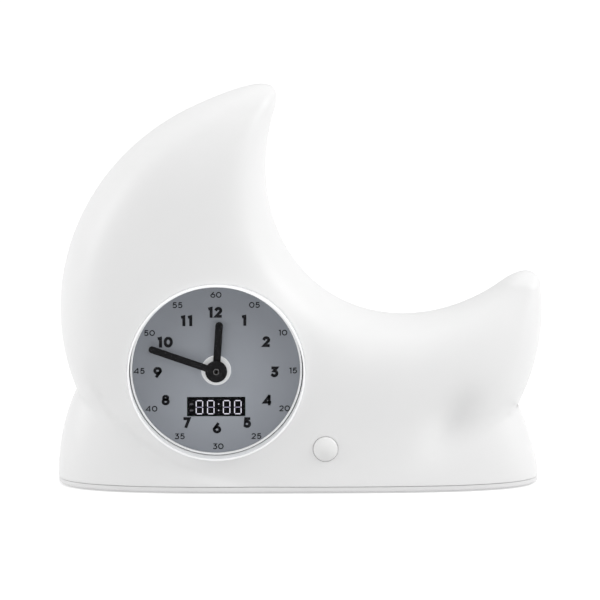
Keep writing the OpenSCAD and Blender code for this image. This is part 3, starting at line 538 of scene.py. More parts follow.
# Degrees from which an edge stays sharp, and degrees within which two faces count as one flat
SHARP = 35
ONE_FLAT = 0.5
# Metres within which two points are one
DOUBLE = 1e-6


def shade(mesh, sharp):
    """Smooth faces, with the edges that turn further than sharp marked."""
    mesh.polygons.foreach_set("use_smooth", np.ones(len(mesh.polygons), bool))
    mesh.set_sharp_from_angle(angle=math.radians(sharp))


def show(name, mesh):
    """Object of a mesh, linked to the scene."""
    made = bpy.data.objects.new(name, mesh)
    bpy.context.scene.collection.objects.link(made)
    return made


def to_object(name, shape, material, sharp=SHARP):
    """Mesh object in metres with doubles merged, normals outwards and sharp edges marked."""
    points, faces = shape
    mesh = bpy.data.meshes.new(name)
    mesh.from_pydata((np.asarray(points) * MM).tolist(), [], faces)
    work = bmesh.new()
    work.from_mesh(mesh)
    bmesh.ops.remove_doubles(work, verts=work.verts, dist=DOUBLE)
    bmesh.ops.recalc_face_normals(work, faces=work.faces)
    work.to_mesh(mesh)
    work.free()
    shade(mesh, sharp)
    mesh.materials.append(material)
    return show(name, mesh)


def settle(made, body, replaced=()):
    """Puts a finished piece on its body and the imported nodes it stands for."""
    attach(made, body)
    if replaced:
        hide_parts(*replaced)
    return made


def piece(name, shape, material):
    """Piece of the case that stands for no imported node."""
    return settle(to_object(name, shape, material), "case")


def rebuilt(name, node, shape, material, sharp=SHARP):
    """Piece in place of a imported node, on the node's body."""
    return settle(to_object(name, shape, material, sharp), BODY_OF[node], (node,))


def polished(node, edge):
    """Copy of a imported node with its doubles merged, its flat faces joined and its sharp edges
    rounded, in place of the node."""
    mesh = NODES[node].data.copy()
    work = bmesh.new()
    work.from_mesh(mesh)
    bmesh.ops.remove_doubles(work, verts=work.verts, dist=DOUBLE)
    bmesh.ops.dissolve_limit(work, angle_limit=math.radians(ONE_FLAT), verts=work.verts,
                             edges=work.edges)
    corners = [e for e in work.edges
               if len(e.link_faces) == 2 and e.calc_face_angle(0) > math.radians(SHARP)]
    bmesh.ops.bevel(work, geom=corners, offset=edge * MM, segments=2, affect="EDGES",
                    profile=0.5, clamp_overlap=True)
    work.to_mesh(mesh)
    work.free()
    mesh.materials.clear()
    mesh.materials.append(SLOT_FINISH[SLOT_OF[node]])
    shade(mesh, SHARP)
    return settle(show(node + "_moulded", mesh), BODY_OF[node], (node,))


def cutter(outline, low, high, plane=FRONT):
    """Plate between two planes, to be cut out of a piece."""
    return to_object("cutter", slab(outline, low, high, plane=plane), SHELL)


def cut_away(made, cutters):
    """Takes the cutters' volumes out of a piece and keeps the result as its mesh."""
    for tool in cutters:
        hole = made.modifiers.new("hole", "BOOLEAN")
        hole.operation, hole.solver, hole.object = "DIFFERENCE", "MANIFOLD", tool
    mesh = bpy.data.meshes.new_from_object(made.evaluated_get(
        bpy.context.evaluated_depsgraph_get()))
    made.modifiers.clear()
    made.data = mesh
    shade(mesh, SHARP)
    for tool in cutters:
        bpy.data.objects.remove(tool)


# ---- Materials ----

class Finish:
    """Builds one material: a shader with procedural patterns read in Object coordinates."""

    def __init__(self, name, colour, roughness=0.5, metallic=0.0):
        self.material = bpy.data.materials.new(name)
        self.material.use_nodes = True
        self.nodes, self.links = self.material.node_tree.nodes, self.material.node_tree.links
        self.shader = self.nodes["Principled BSDF"]
        self.set(Base_Color=(*colour, 1), Roughness=roughness, Metallic=metallic)
        self.place = self.nodes.new("ShaderNodeTexCoord").outputs["Object"]

    def set(self, **values):
        """Values on the shader's own sockets."""
        for socket, value in values.items():
            self.shader.inputs[socket.replace("_", " ")].default_value = value
        return self

    def pattern(self, kind, stretch=(1, 1, 1), at=(0, 0, 0), **values):
        """Tone of a texture read through a mapping that stretches and places it."""
        mapping = self.nodes.new("ShaderNodeMapping")
        mapping.inputs["Scale"].default_value = stretch
        mapping.inputs["Location"].default_value = at
        self.links.new(self.place, mapping.inputs["Vector"])
        texture = self.nodes.new("ShaderNodeTex" + kind)
        self.links.new(mapping.outputs["Vector"], texture.inputs["Vector"])
        for name, value in values.items():
            if name.replace("_", " ") in texture.inputs:
                texture.inputs[name.replace("_", " ")].default_value = value
            else:
                setattr(texture, name, value)
        return texture.outputs["Fac"]

    def ramp(self, tone, stops, ease="LINEAR"):
        """Colours by tone, through the stops."""
        node = self.nodes.new("ShaderNodeValToRGB")
        node.color_ramp.interpolation = ease
        self.links.new(tone, node.inputs["Fac"])
        while len(node.color_ramp.elements) < len(stops):
            node.color_ramp.elements.new(0.5)
        for element, (position, colour) in zip(node.color_ramp.elements, stops):
            element.position = position
            element.color = (*colour, 1)
        return node.outputs["Color"]

    def colour_by(self, tone, stops, ease="LINEAR"):
        """Base colour by tone, through the stops."""
        self.links.new(self.ramp(tone, stops, ease), self.shader.inputs["Base Color"])

    def roughness_by(self, tone, low, high):
        """Roughness from low to high with the tone."""
        node = self.nodes.new("ShaderNodeMapRange")
        node.inputs["To Min"].default_value = low
        node.inputs["To Max"].default_value = high
        self.links.new(tone, node.inputs["Value"])
        self.links.new(node.outputs["Result"], self.shader.inputs["Roughness"])

    def bump_by(self, tone, height):
        """Bump whose height, in millimetres, is the tone's full swing."""
        node = self.nodes.new("ShaderNodeBump")
        node.inputs["Distance"].default_value = height * MM
        self.links.new(tone, node.inputs["Height"])
        self.links.new(node.outputs["Normal"], self.shader.inputs["Normal"])


def tint(colour, factor):
    """Colour made lighter or darker by a factor."""
    return tuple(min(1.0, c * factor) for c in colour)


def moulded(name, colour, roughness, grain=0.5, depth=0.01, cloud=0.02, **values):
    """Moulded plastic: a fine spark-eroded grain in millimetres, faint clouds of tone and
    patches that are a little glossier."""
    finish = Finish(name, colour, roughness).set(**values)
    clouds = finish.pattern("Noise", Scale=35.0, Detail=3.0)
    finish.colour_by(clouds, [(0.3, tint(colour, 1 - cloud)), (0.7, tint(colour, 1))])
    finish.roughness_by(clouds, roughness - 0.06, roughness + 0.06)
    finish.bump_by(finish.pattern("Noise", Scale=1 / (grain * MM), Detail=2.0), depth)
    return finish.material


def brushed(name, colour, roughness=0.3, stretch=(1, 12, 1)):
    """Metal with fine lines across one axis."""
    finish = Finish(name, colour, roughness, metallic=1.0)
    lines = finish.pattern("Noise", stretch, Scale=900.0, Detail=4.0)
    finish.colour_by(lines, [(0.3, tint(colour, 0.85)), (0.7, tint(colour, 1.05))])
    finish.roughness_by(lines, roughness - 0.08, roughness + 0.12)
    finish.bump_by(lines, 0.004)
    return finish.material


def dial_print():
    """Satin grey print with a fine tooth, with a painted pool of light round a place below the
    hands' axis: lighter there, darker further out.
    """
    grey, reach, right, below = (0.303, 0.322, 0.357), 50, 1, 6
    finish = Finish("dial_print", grey, 0.6)
    # Painted light: a spherical gradient that lightens the grey round a place below and right of
    # the hands' axis.
    glow = finish.pattern("Gradient", (1 / (reach * MM),) * 3,
                          (-(DIAL[0] + right) / reach, -DIAL_Y / reach,
                           -(DIAL[1] - below) / reach), gradient_type="SPHERICAL")
    finish.colour_by(glow, [(0.3, tint(grey, 0.93)), (0.78, tint(grey, 1.33))])
    tooth = finish.pattern("Noise", Scale=2500.0, Detail=2.0)
    finish.roughness_by(tooth, 0.5, 0.66)
    finish.bump_by(tooth, 0.004)
    return finish.material


def clear_acrylic():
    """Clear cover: mostly see-through, with a faint gloss."""
    finish = Finish("clear_acrylic", (0.01, 0.01, 0.012), 0.04)
    finish.set(Alpha=0.05, IOR=1.45, Specular_IOR_Level=0.06)
    finish.roughness_by(finish.pattern("Noise", Scale=60.0, Detail=2.0), 0.03, 0.06)
    return finish.material


def ringed_cap():
    """Dark cap with a fine bright ring: bands of tone by distance from the hands' axis."""
    reach, ring_inner, ring_outer = 2, 1.16, 1.3
    finish = Finish("ringed_cap", (0.02, 0.02, 0.02), 0.4).set(Specular_IOR_Level=0.15)
    centred = finish.nodes.new("ShaderNodeMapping")
    centred.inputs["Location"].default_value = (-DIAL[0] * MM, 0, -DIAL[1] * MM)
    finish.links.new(finish.place, centred.inputs["Vector"])
    flat = finish.nodes.new("ShaderNodeVectorMath")
    flat.operation = "MULTIPLY"
    flat.inputs[1].default_value = (1 / (reach * MM), 0, 1 / (reach * MM))
    finish.links.new(centred.outputs["Vector"], flat.inputs[0])
    away = finish.nodes.new("ShaderNodeVectorMath")
    away.operation = "LENGTH"
    finish.links.new(flat.outputs["Vector"], away.inputs[0])
    dark, light = (0.01, 0.01, 0.01), (0.4, 0.4, 0.4)
    finish.colour_by(away.outputs["Value"], [(0, dark), (ring_inner / reach, light),
                                             (ring_outer / reach, dark)], "CONSTANT")
    return finish.material


def lit_segment(name, colour, strength):
    """Segment of the display: a glow that is a touch uneven along its length."""
    finish = Finish(name, (0.01, 0.01, 0.012), 0.4).set(Emission_Strength=strength)
    patches = finish.pattern("Noise", Scale=800.0, Detail=1.0)
    glow = finish.ramp(patches, [(0.3, tint(colour, 0.9)), (0.7, colour)])
    finish.links.new(glow, finish.shader.inputs["Emission Color"])
    return finish.material


def circuit_board(name, colour, copper):
    """Solder mask with the tracks under it showing as lighter lines."""
    finish = Finish(name, colour, 0.35)
    tracks = finish.pattern("Brick", (600, 600, 600), Mortar_Size=0.05)
    finish.colour_by(tracks, [(0.4, colour), (0.6, copper)])
    finish.roughness_by(finish.pattern("Noise", Scale=1500.0), 0.28, 0.42)
    return finish.material


def cell_sleeve():
    """Printed metal sleeve along X: bare ends, green body, copper band at the positive end."""
    finish = Finish("cell_sleeve", (0.1, 0.32, 0.18), 0.3, metallic=0.4)
    low, high = span("batteries")
    length = high[0] - low[0]
    along = finish.pattern("Gradient", (1 / (length * MM), 1, 1), (-low[0] / length, 0, 0))
    bare, green, copper = (0.6, 0.6, 0.6), (0.05, 0.26, 0.13), (0.62, 0.34, 0.16)
    finish.colour_by(along, [(0, bare), (0.015, green), (0.72, copper), (0.97, bare)],
                     "CONSTANT")
    finish.roughness_by(finish.pattern("Noise", Scale=400.0, Detail=4.0), 0.22, 0.45)
    return finish.material


def wound_wire():
    """Enamelled wire laid turn by turn, up Z."""
    finish = Finish("wound_wire", (0.55, 0.2, 0.07), 0.3, metallic=0.7)
    turns = finish.pattern("Wave", bands_direction="Z", Scale=900.0)
    finish.colour_by(turns, [(0.1, (0.3, 0.1, 0.03)), (0.7, (0.62, 0.26, 0.1))])
    finish.bump_by(turns, 0.05)
    return finish.material


SHELL = moulded("shell_plastic", (0.86, 0.86, 0.86), 0.42, grain=0.6, depth=0.006, cloud=0.012,
                Subsurface_Weight=0.12, Subsurface_Radius=(0.004, 0.004, 0.004),
                Subsurface_Scale=1.0)
PLATE = moulded("base_plastic", (0.85, 0.85, 0.85), 0.5, grain=0.5, depth=0.01)
KEY_CAP = moulded("key_plastic", (0.84, 0.84, 0.835), 0.3, grain=0.9, depth=0.004, cloud=0.01)
RUBBER = moulded("foot_rubber", (0.03, 0.03, 0.03), 0.8, grain=0.3, depth=0.03)
DARK = moulded("dark_plastic", (0.035, 0.036, 0.04), 0.45, grain=0.4, depth=0.012)
IVORY = moulded("gear_plastic", (0.72, 0.69, 0.6), 0.4, grain=0.6, depth=0.006)
HAND_BLACK = moulded("hand_black", (0.008, 0.008, 0.009), 0.36, grain=0.8, depth=0.003,
                     Specular_IOR_Level=0.12)
INK = moulded("dial_ink", (0.01, 0.01, 0.012), 0.5, grain=0.3, depth=0.003,
              Specular_IOR_Level=0.1)
SMOKED = moulded("smoked_window", (0.003, 0.003, 0.004), 0.16, grain=1.5, depth=0.001,
                 Specular_IOR_Level=0.05)
PHOSPHOR = moulded("light_phosphor", (0.85, 0.7, 0.25), 0.4, grain=0.4, depth=0.01)
CONE = moulded("speaker_cone", (0.05, 0.05, 0.055), 0.7, grain=0.3, depth=0.03)
STEEL = brushed("plated_steel", (0.62, 0.62, 0.64))
BRASS = brushed("turned_brass", (0.72, 0.52, 0.22), 0.28, (12, 1, 12))
DIAL_PRINT = dial_print()
ACRYLIC = clear_acrylic()
# White trim whose faint glow is painted light. On the lens's rim the white also stands in for the
# white body seen through the clear wall. On the dial's band and the collar the glow lifts their
# shade in the recess and under the hands.
WHITE_PAINTED_GLOW = moulded("white_rim_painted_glow", (0.93, 0.94, 0.95), 0.3, grain=0.4, depth=0.002, cloud=0.01,
                  Subsurface_Weight=0.3, Subsurface_Radius=(0.002, 0.002, 0.002),
                  Subsurface_Scale=1.0, Emission_Color=(1, 1, 1, 1), Emission_Strength=0.13)
CAP_MARK = ringed_cap()
LIT = lit_segment("segment_lit", (0.9, 0.88, 1.0), 1.0)
DIM = lit_segment("segment_dim", (0.62, 0.57, 0.82), 0.75)
UNLIT = lit_segment("segment_unlit", (0.2, 0.18, 0.22), 0.22)
BOARD = circuit_board("board_green", (0.02, 0.14, 0.06), (0.05, 0.25, 0.1))
BOARD_WHITE = circuit_board("board_white", (0.75, 0.75, 0.74), (0.62, 0.62, 0.6))
CELL = cell_sleeve()
WIRE = wound_wire()

SLOT_FINISH = {
    "shell_white": SHELL, "base_white": PLATE, "key_white": KEY_CAP, "foot_rubber": RUBBER,
    "steel": STEEL, "cell_sleeve": CELL, "dial_grey": DIAL_PRINT, "clear_plastic": ACRYLIC,
    "hand_black": HAND_BLACK, "arbor_brass": BRASS, "gear_ivory": IVORY, "movement_grey": DARK,
    "coil_copper": WIRE, "display_black": SMOKED, "board_green": BOARD,
    "board_white": BOARD_WHITE, "led_yellow": PHOSPHOR, "speaker_grey": CONE,
}


def finish_packed_nodes():
    """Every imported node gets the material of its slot."""
    for node, slot in SLOT_OF.items():
        mesh = NODES[node].data
        mesh.materials.clear()
        mesh.materials.append(SLOT_FINISH[slot])


# ---- Shells ----

# How far from the parting plane cutters start, past the skin, and the button's and cup's end
BEYOND, MOUTH_END = 60.0, 20
# Clearance and lip of the mouths round the lens and the button, and lip of the knob cup's
LENS_FIT, LENS_LIP = 0.05, 0.5
BUTTON_FIT, BUTTON_LIP = 0.12, 0.3
CUP_LIP = 0.5
# Corners of the panel's opening, and how far it is cut before and behind the panel
PANEL_CORNER, PANEL_REACH = 1.2, 10
# A screw is less wide than this, and its neighbour further away
SCREW_APART = 8
# Thickness of the sleeves round the lens, the button and the screws, how far the lens's goes
# past the lens, and the thickness and bore of the screws' seats
LENS_SLEEVE, BUTTON_SLEEVE, SCREW_SLEEVE = 2.0, 1.8, 1.4
LENS_SLEEVE_PAST = 1.4
SEAT_T, SEAT_BORE = 2, 1.6


def mouth_cutter(centre, radius, lip, side, end, steps=192):
    """Cuts a hole whose edge follows the skin and is rounded by a quarter circle of radius
    lip. side is -1 for the front half and 1 for the rear."""
    skin = skin_depth(ring_of(centre, radius + lip, steps), side)
    rows = [(radius, end)]
    rows += [(radius + lip * (1 - math.cos(t)), side * (skin - lip * (1 - math.sin(t))))
             for t in np.linspace(0, np.pi / 2, 7)]
    rows.append((radius + lip, side * BEYOND))
    return to_object("cutter", stacked([(ring_of(centre, r, steps), y) for r, y in rows]), SHELL)


def middles(node, axes):
    """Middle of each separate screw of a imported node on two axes, found by taking the points
    that lie within a screw's width of the first one, again and again."""
    mesh = NODES[node].data
    points = np.empty(len(mesh.vertices) * 3, np.float32)
    mesh.vertices.foreach_get("co", points)
    points = points.reshape(-1, 3)[:, axes] / MM
    found = []
    while len(points):
        near = np.hypot(*(points - points[0]).T) < SCREW_APART
        found.append((points[near].min(0) + points[near].max(0)) / 2)
        points = points[~near]
    return found


def half_shell(name, node, side):
    """One half of the body, joined loop to loop along its rungs."""
    points = half_shell_points(side)
    faces = grid_faces(*points.shape[:2], wrap_columns=True)
    return rebuilt(name, node, (points.reshape(-1, 3), faces), SHELL)


def shells():
    """Front half with mouths for lens and button; rear half with the panel's opening, the
    mouth of the knob's cup and the bores of the case screws."""
    front = half_shell("front_moon_shell", "front_shell", -1)
    cut_away(front, [mouth_cutter(DIAL, LENS_R + LENS_FIT, LENS_LIP, -1, LENS_BACK),
                     mouth_cutter(BUTTON, BUTTON_R + BUTTON_FIT, BUTTON_LIP, -1, -MOUTH_END)])
    rear = half_shell("rear_moon_shell", "rear_shell", 1)
    low, high = span("control_panel")
    opening = rounded(rectangle(low[[0, 2]] - FIT, high[[0, 2]] + FIT), PANEL_CORNER)
    cutters = [cutter(opening, low[1] - PANEL_REACH, high[1] + PANEL_REACH),
               mouth_cutter(KNOB, CUP_R + FIT, CUP_LIP, 1, MOUTH_END)]
    cutters += [cutter(ring_of(place, HEAD_BORE, 48), SCREW_SEAT + SCREW_HEAD, BEYOND)
                for place in middles("case_screws", [0, 2])]
    cut_away(rear, cutters)


def wells():
    """Sleeves behind the shells' holes: one round the lens, one round the button and one for
    each case screw, each starting inside the wall of the skin. A screw's sleeve ends in the
    ring that its head seats on."""
    def sleeve(centre, radius, thick, end, side):
        """Tube between two circles, from half the skin's wall down to a plane."""
        inner, outer = ring_of(centre, radius, 128), ring_of(centre, radius + thick, 128)
        start = side * (skin_depth(outer, side) - WALL / 2)
        return stacked([(inner, start), (outer, start), (outer, end), (inner, end)], tube=True)

    guide_end = span("front_button")[0][1] + GUIDE_END
    shapes = [sleeve(DIAL, LENS_R + LENS_FIT, LENS_SLEEVE, LENS_BACK + LENS_SLEEVE_PAST, -1),
              sleeve(BUTTON, BUTTON_R + FIT, BUTTON_SLEEVE, guide_end, -1)]
    piece("front_wells", joined(shapes), SHELL)
    places = middles("case_screws", [0, 2])
    seat = rectangle((SEAT_BORE, SCREW_SEAT - SEAT_T), (HEAD_BORE + SCREW_SLEEVE, SCREW_SEAT))
    shapes = [sleeve(place, HEAD_BORE, SCREW_SLEEVE, SCREW_SEAT, 1) for place in places]
    shapes += [lathe(seat, place, 48) for place in places]
    piece("rear_wells", joined(shapes), SHELL)


# ---- Dial, lens and hands ----

# Wall and pane of the lens, the pane's edge, the rim's edges from its inner front one round,
# and the steps round the lens and the dial
LENS_WALL, PANE_T, PANE_EDGE = 0.8, 1.4, 0.1
RIM_EDGES = (0.1, 0.4, 0.15, 0.15)
FINE = 160
# Gap round the dial, width and half height of the band there, and its rounded edge
BAND_GAP, BAND_W, BAND_HALF, BAND_EDGE = 0.05, 0.9, 0.8, 0.3
# Length, width, hub's radius and clockwise angle of each hand, and its edge
HANDS = {"hour": (22.6, 3.4, 4.2, 3.9), "minute": (32.4, 3.15, 5.0, 289.2)}
HAND_EDGE = 0.2
# Bores of the cap and the collar, and their outer and inner edges at the front
CAP_BORE, CAP_EDGES = 0.5, (0.3, 0.15)
COLLAR_BORE, COLLAR_EDGES = 3.6, (0.4, 0.1)


def lens():
    """Clear pane with a white side wall round it, down to the dial. The wall's white and faint glow
    are painted light, for the white body seen through the clear rim.
    """
    inner = LENS_R - LENS_WALL
    pane = rounded(rectangle((0, LENS_FRONT), (inner, LENS_FRONT + PANE_T)),
                   [0, PANE_EDGE, PANE_EDGE, 0])
    rebuilt("clear_lens", "lens", lathe(pane, DIAL, FINE), ACRYLIC)
    rim = rounded(rectangle((inner, LENS_FRONT), (LENS_R, LENS_BACK)), RIM_EDGES)
    piece("lens_rim", lathe(rim, DIAL, FINE), WHITE_PAINTED_GLOW)


def dial_rings():
    """Light moulded band round the dial, seen through the lens. Its faint glow is painted light
    that lifts the shade of the recess.
    """
    inner = DIAL_R + BAND_GAP
    band = rounded(rectangle((inner, DIAL_Y - BAND_HALF), (inner + BAND_W, DIAL_Y + BAND_HALF)),
                   [BAND_EDGE, BAND_EDGE, 0, 0], 3)
    piece("dial_band", lathe(band, DIAL, FINE), WHITE_PAINTED_GLOW)


def hand_outline(length, width, hub, degrees):
    """Hub circle, two straight sides and a round end, turned clockwise from twelve."""
    meet = math.asin(width / 2 / hub)
    arc = np.linspace(np.pi / 2 + meet, np.pi / 2 + 2 * np.pi - meet, 40)
    circle = hub * np.stack([np.cos(arc), np.sin(arc)], -1)
    tip = np.linspace(0, np.pi, 17)
    end = np.stack([width / 2 * np.cos(tip), length - width / 2 + width / 2 * np.sin(tip)], -1)
    a = math.radians(-degrees)
    turn = np.array([[math.cos(a), math.sin(a)], [-math.sin(a), math.cos(a)]])
    return np.concatenate([circle, end]) @ turn + DIAL


def axis_ring(name, node, bore, edges, steps, material):
    """Ring round the hands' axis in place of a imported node, its front edges rounded."""
    low, high = span(node)
    profile = rounded(rectangle((bore, high[1]), (radius_of(node), low[1])), [0, 0, *edges])
    rebuilt(name, node, lathe(profile, DIAL, steps), material)


def hands():
    """Two flat hands with softened edges, the cap on their arbor and the collar under them."""
    for hand, sizes in HANDS.items():
        low, high = span(hand + "_hand")
        rebuilt(hand + "_hand_black", hand + "_hand",
                slab(hand_outline(*sizes), high[1], low[1], HAND_EDGE), HAND_BLACK)
    axis_ring("hand_cap_ringed", "hand_cap", CAP_BORE, CAP_EDGES, 48, CAP_MARK)
    # The collar's faint glow is painted light that lifts the shade under the hands.
    axis_ring("dial_collar", "dial_nut", COLLAR_BORE, COLLAR_EDGES, 96, WHITE_PAINTED_GLOW)


# ---- Numerals ----

def arc(cx, cz, rx, rz, start, end, steps=18):
    """Part of an ellipse about (cx, cz), between two angles."""
    a = np.radians(np.linspace(start, end, steps))
    return np.stack([cx + rx * np.cos(a), cz + rz * np.sin(a)], -1)


def line(*points):
    """Straight strokes from point to point."""
    return np.array(points, float)


# Centre lines of each figure in a box one unit high, straight stems on 6 and 9
FIGURES = {
    "0": [arc(0, 0.5, 0.34, 0.5, 90, 450, 40)],
    "1": [line((-0.05, 0.96), (0.1, 1.0), (0.1, 0.0))],
    "2": [np.concatenate([arc(0, 0.72, 0.26, 0.28, 150, -35), line((-0.25, 0.0), (0.21, 0.0))])],
    "3": [np.concatenate([line((-0.18, 1.0), (0.22, 1.0), (-0.04, 0.62)),
                          arc(-0.02, 0.31, 0.28, 0.31, 75, -135)])],
    "4": [line((0.16, 1.0), (-0.36, 0.22), (0.27, 0.22)), line((0.2, 1.0), (0.2, 0.0))],
    "5": [np.concatenate([line((0.18, 1.0), (-0.17, 1.0), (-0.22, 0.52)),
                          arc(-0.02, 0.32, 0.28, 0.32, 115, -135)])],
    "6": [arc(0, 0.31, 0.31, 0.31, 90, 450, 36), line((-0.28, 0.44), (0.08, 1.0))],
    "7": [line((-0.2, 1.0), (0.27, 1.0), (-0.06, 0.0))],
    "8": [arc(0, 0.77, 0.23, 0.23, 90, 450, 32), arc(0, 0.28, 0.29, 0.28, 90, 450, 36)],
    "9": [arc(0, 0.69, 0.31, 0.31, 90, 450, 36), line((0.28, 0.56), (-0.08, 0.0))],
}
# Room that a figure takes along the line, in heights, and the strokes' widths added to it
ADVANCE = {"0": 0.74, "1": 0.36, "4": 0.76}
PLAIN_ADVANCE, STROKE_ADVANCE = 0.64, 1.2
# Share of the stroke that keeps small counters open, and thickness of the ink
WEIGHT = {"4": 0.88, "8": 0.94, "6": 0.95, "9": 0.97}
INK_T = 0.04

# Radius of each ring of numerals; height, width of stroke and stretch of their figures
HOUR_RING, HOUR_TYPE = 26.95, (5.0, 1.36, 1.14)
MINUTE_RING, MINUTE_TYPE = 35.0, (2.7, 0.48, 1.35)
# Hours that the window pushes down, or that are printed a little off their place
NUDGE = {1: (-0.8, -0.4), 2: (-0.5, -0.4), 3: (-0.4, -0.9), 5: (0.6, -1.0), 6: (0.3, 0.1),
         7: (0.0, -0.9), 8: (0.3, -0.3), 9: (0.3, -0.9), 12: (-0.5, -0.3)}
PLAIN_NUDGE = (0, -0.5)
LOWER_MINUTES_NUDGE, MINUTES_NUDGE = (0.8, -0.3), (0.0, -0.3)


def stroke(path, width):
    """Outline of a path drawn with a flat pen: the path moved half a width to each side, an
    open one also made half a width longer at both ends."""
    ahead = unit(np.diff(path, axis=0))
    path = path.copy()
    if np.hypot(*(path[0] - path[-1])) > width / 4:
        path[0] -= ahead[0] * width / 2
        path[-1] += ahead[-1] * width / 2
    near = unit(np.concatenate([ahead[:1], ahead[:-1] + ahead[1:], ahead[-1:]]))
    lean = np.concatenate([[1], np.clip((near[1:-1] * ahead[1:]).sum(-1), 0.45, 1), [1]])
    side = np.stack([-near[:, 1], near[:, 0]], -1) * (width / 2 / lean)[:, None]
    return np.concatenate([path + side, (path - side)[::-1]])


def ribbon(path, width, y):
    """Flat strip along a path on the plane y, raised by the ink's thickness."""
    n = len(path)
    outline = stroke(path, width)
    points = [np.column_stack([outline, np.full(2 * n, level)]) for level in (y - INK_T, y)]
    i = np.arange(n - 1)
    top = np.stack([i, i + 1, 2 * n - 2 - i, 2 * n - 1 - i], -1)
    rim = grid_faces(2, 2 * n, wrap_columns=True)
    return np.concatenate(points)[:, FRONT], top.tolist() + (top[:, ::-1] + 2 * n).tolist() + rim


def number(text, middle, height, width, stretch):
    """Figures side by side round a middle, as ribbons on the dial."""
    shapes = []
    scale = height - width
    room = [ADVANCE.get(figure, PLAIN_ADVANCE) * scale * stretch + width * STROKE_ADVANCE
            for figure in text]
    x = middle[0] - sum(room) / 2
    for figure, wide in zip(text, room):
        for path in FIGURES[figure]:
            placed = path * (scale * stretch, scale) + (x + wide / 2, middle[1] - scale / 2)
            shapes.append(ribbon(placed, width * WEIGHT.get(figure, 1), DIAL_Y))
        x += wide
    return shapes


def on_dial(radius, clockwise, nudge):
    """Place at a radius and a clockwise angle from twelve, moved by a nudge."""
    a = math.radians(90 - clockwise)
    return DIAL + nudge + radius * np.array([math.cos(a), math.sin(a)])


def numerals():
    """Hours 1 to 12 and, outside them, minutes 05 to 60."""
    hours, minutes = [], []
    for hour in range(1, 13):
        place = on_dial(HOUR_RING, 30 * hour, NUDGE.get(hour, PLAIN_NUDGE))
        hours += number(str(hour), place, *HOUR_TYPE)
        place = on_dial(MINUTE_RING, 30 * hour,
                        LOWER_MINUTES_NUDGE if 4 <= hour <= 8 else MINUTES_NUDGE)
        minutes += number(f"{5 * hour:02d}", place, *MINUTE_TYPE)
    piece("hour_numerals", joined(hours), INK)
    piece("minute_numerals", joined(minutes), INK)


# ---- Display ----

# Figures: places right of the window's middle, drop below it, width and height
FIGURE_X, FIGURE_DROP = (-7.66, -2.5, 4.73, 9.84), 0.3
FIGURE_SIZE = np.array([2.95, 6.1])
# Width of a bar, gap at each of its ends, and the middle bar's share of the width
BAR_W, BAR_GAP, MIDDLE_BAR = 0.42, 0.2, 0.8
# Heights shared by the colon's dots and the marks at the left; place and size of each
DOT_Z = (-1.75, 1.15)
DOT_X, DOT_R = 1.1, 0.27
MARK_X, MARK_HALF, MARK_W = -11.3, 1, 0.8
# How far the window and the bars lie behind the module's face; the window's corners and edge
WINDOW_SUNK, BARS_SUNK = 0.05, 0.02
WINDOW_CORNER, WINDOW_EDGE = 0.4, 0.15


def segment_bar(a, b, width):
    """Six-sided bar between two points, pointed at both ends."""
    a, b = np.asarray(a, float), np.asarray(b, float)
    d = unit(b - a)
    side = np.array([-d[1], d[0]]) * width / 2
    return np.array([a, a + d * width / 2 + side, b - d * width / 2 + side, b,
                     b - d * width / 2 - side, a + d * width / 2 - side])


def display():
    """Window, four figures of seven bars each, a colon, and two unlit marks at the left. The
    middle bars are thinner and glow less than the outer ones."""
    low, high = span("display_module")
    middle = front_middle("display_module")
    window = rounded(rectangle(low[[0, 2]], high[[0, 2]]), WINDOW_CORNER)
    rebuilt("display_window", "display_module",
            slab(window, high[1], low[1] + WINDOW_SUNK, WINDOW_EDGE), SMOKED)

    def raised(outline):
        """Outline that stands out of the window."""
        return slab(outline, low[1] + WINDOW_SUNK, low[1] + BARS_SUNK)

    def bar(a, b, width=BAR_W):
        """Pointed bar that stands out of the window."""
        return raised(segment_bar(a, b, width))

    lit, dim, unlit = [], [], []
    for x in FIGURE_X:
        centre = middle + (x, -FIGURE_DROP)
        left, bottom = centre - FIGURE_SIZE / 2
        right, top = centre + FIGURE_SIZE / 2
        start, end = left + BAR_GAP, right - BAR_GAP
        lit += [bar((start, z), (end, z)) for z in (top, bottom)]
        lit += [bar((edge, a + BAR_GAP), (edge, b - BAR_GAP)) for edge in (left, right)
                for a, b in ((bottom, centre[1]), (centre[1], top))]
        dim.append(bar((start, centre[1]), (end, centre[1]), BAR_W * MIDDLE_BAR))
    for z in DOT_Z:
        lit.append(raised(ring_of(middle + (DOT_X, z), DOT_R, 20)))
        mark = middle + (MARK_X, z)
        unlit.append(bar(mark - (MARK_HALF, 0), mark + (MARK_HALF, 0), MARK_W))
    piece("lit_segments", joined(lit), LIT)
    piece("dim_segments", joined(dim), DIM)
    piece("unlit_segments", joined(unlit), UNLIT)


# ---- Controls ----

# Button: how far inside its side the dome ends, at which share of the rise, how far below the
# rise its side starts, its shoulder's radius, its collar, and its stem's radius
DOME_INSET, DOME_SHARE = 0.3, 0.86
SIDE_BELOW, SHOULDER_R = 0.4, 0.5
COLLAR_W, COLLAR_T = 1.3, 1.1
STEM_R = 2.0
# Knob: number and depth of its flutes, its edges, and the dish in its rear face
FLUTES, FLUTE_DEPTH = 18, 0.045
KNOB_FRONT_EDGE, KNOB_REAR_EDGE = 0.3, 0.7
DISH_TOP, DISH_FLOOR, DISH_DEPTH = 0.7, 0.62, 0.4


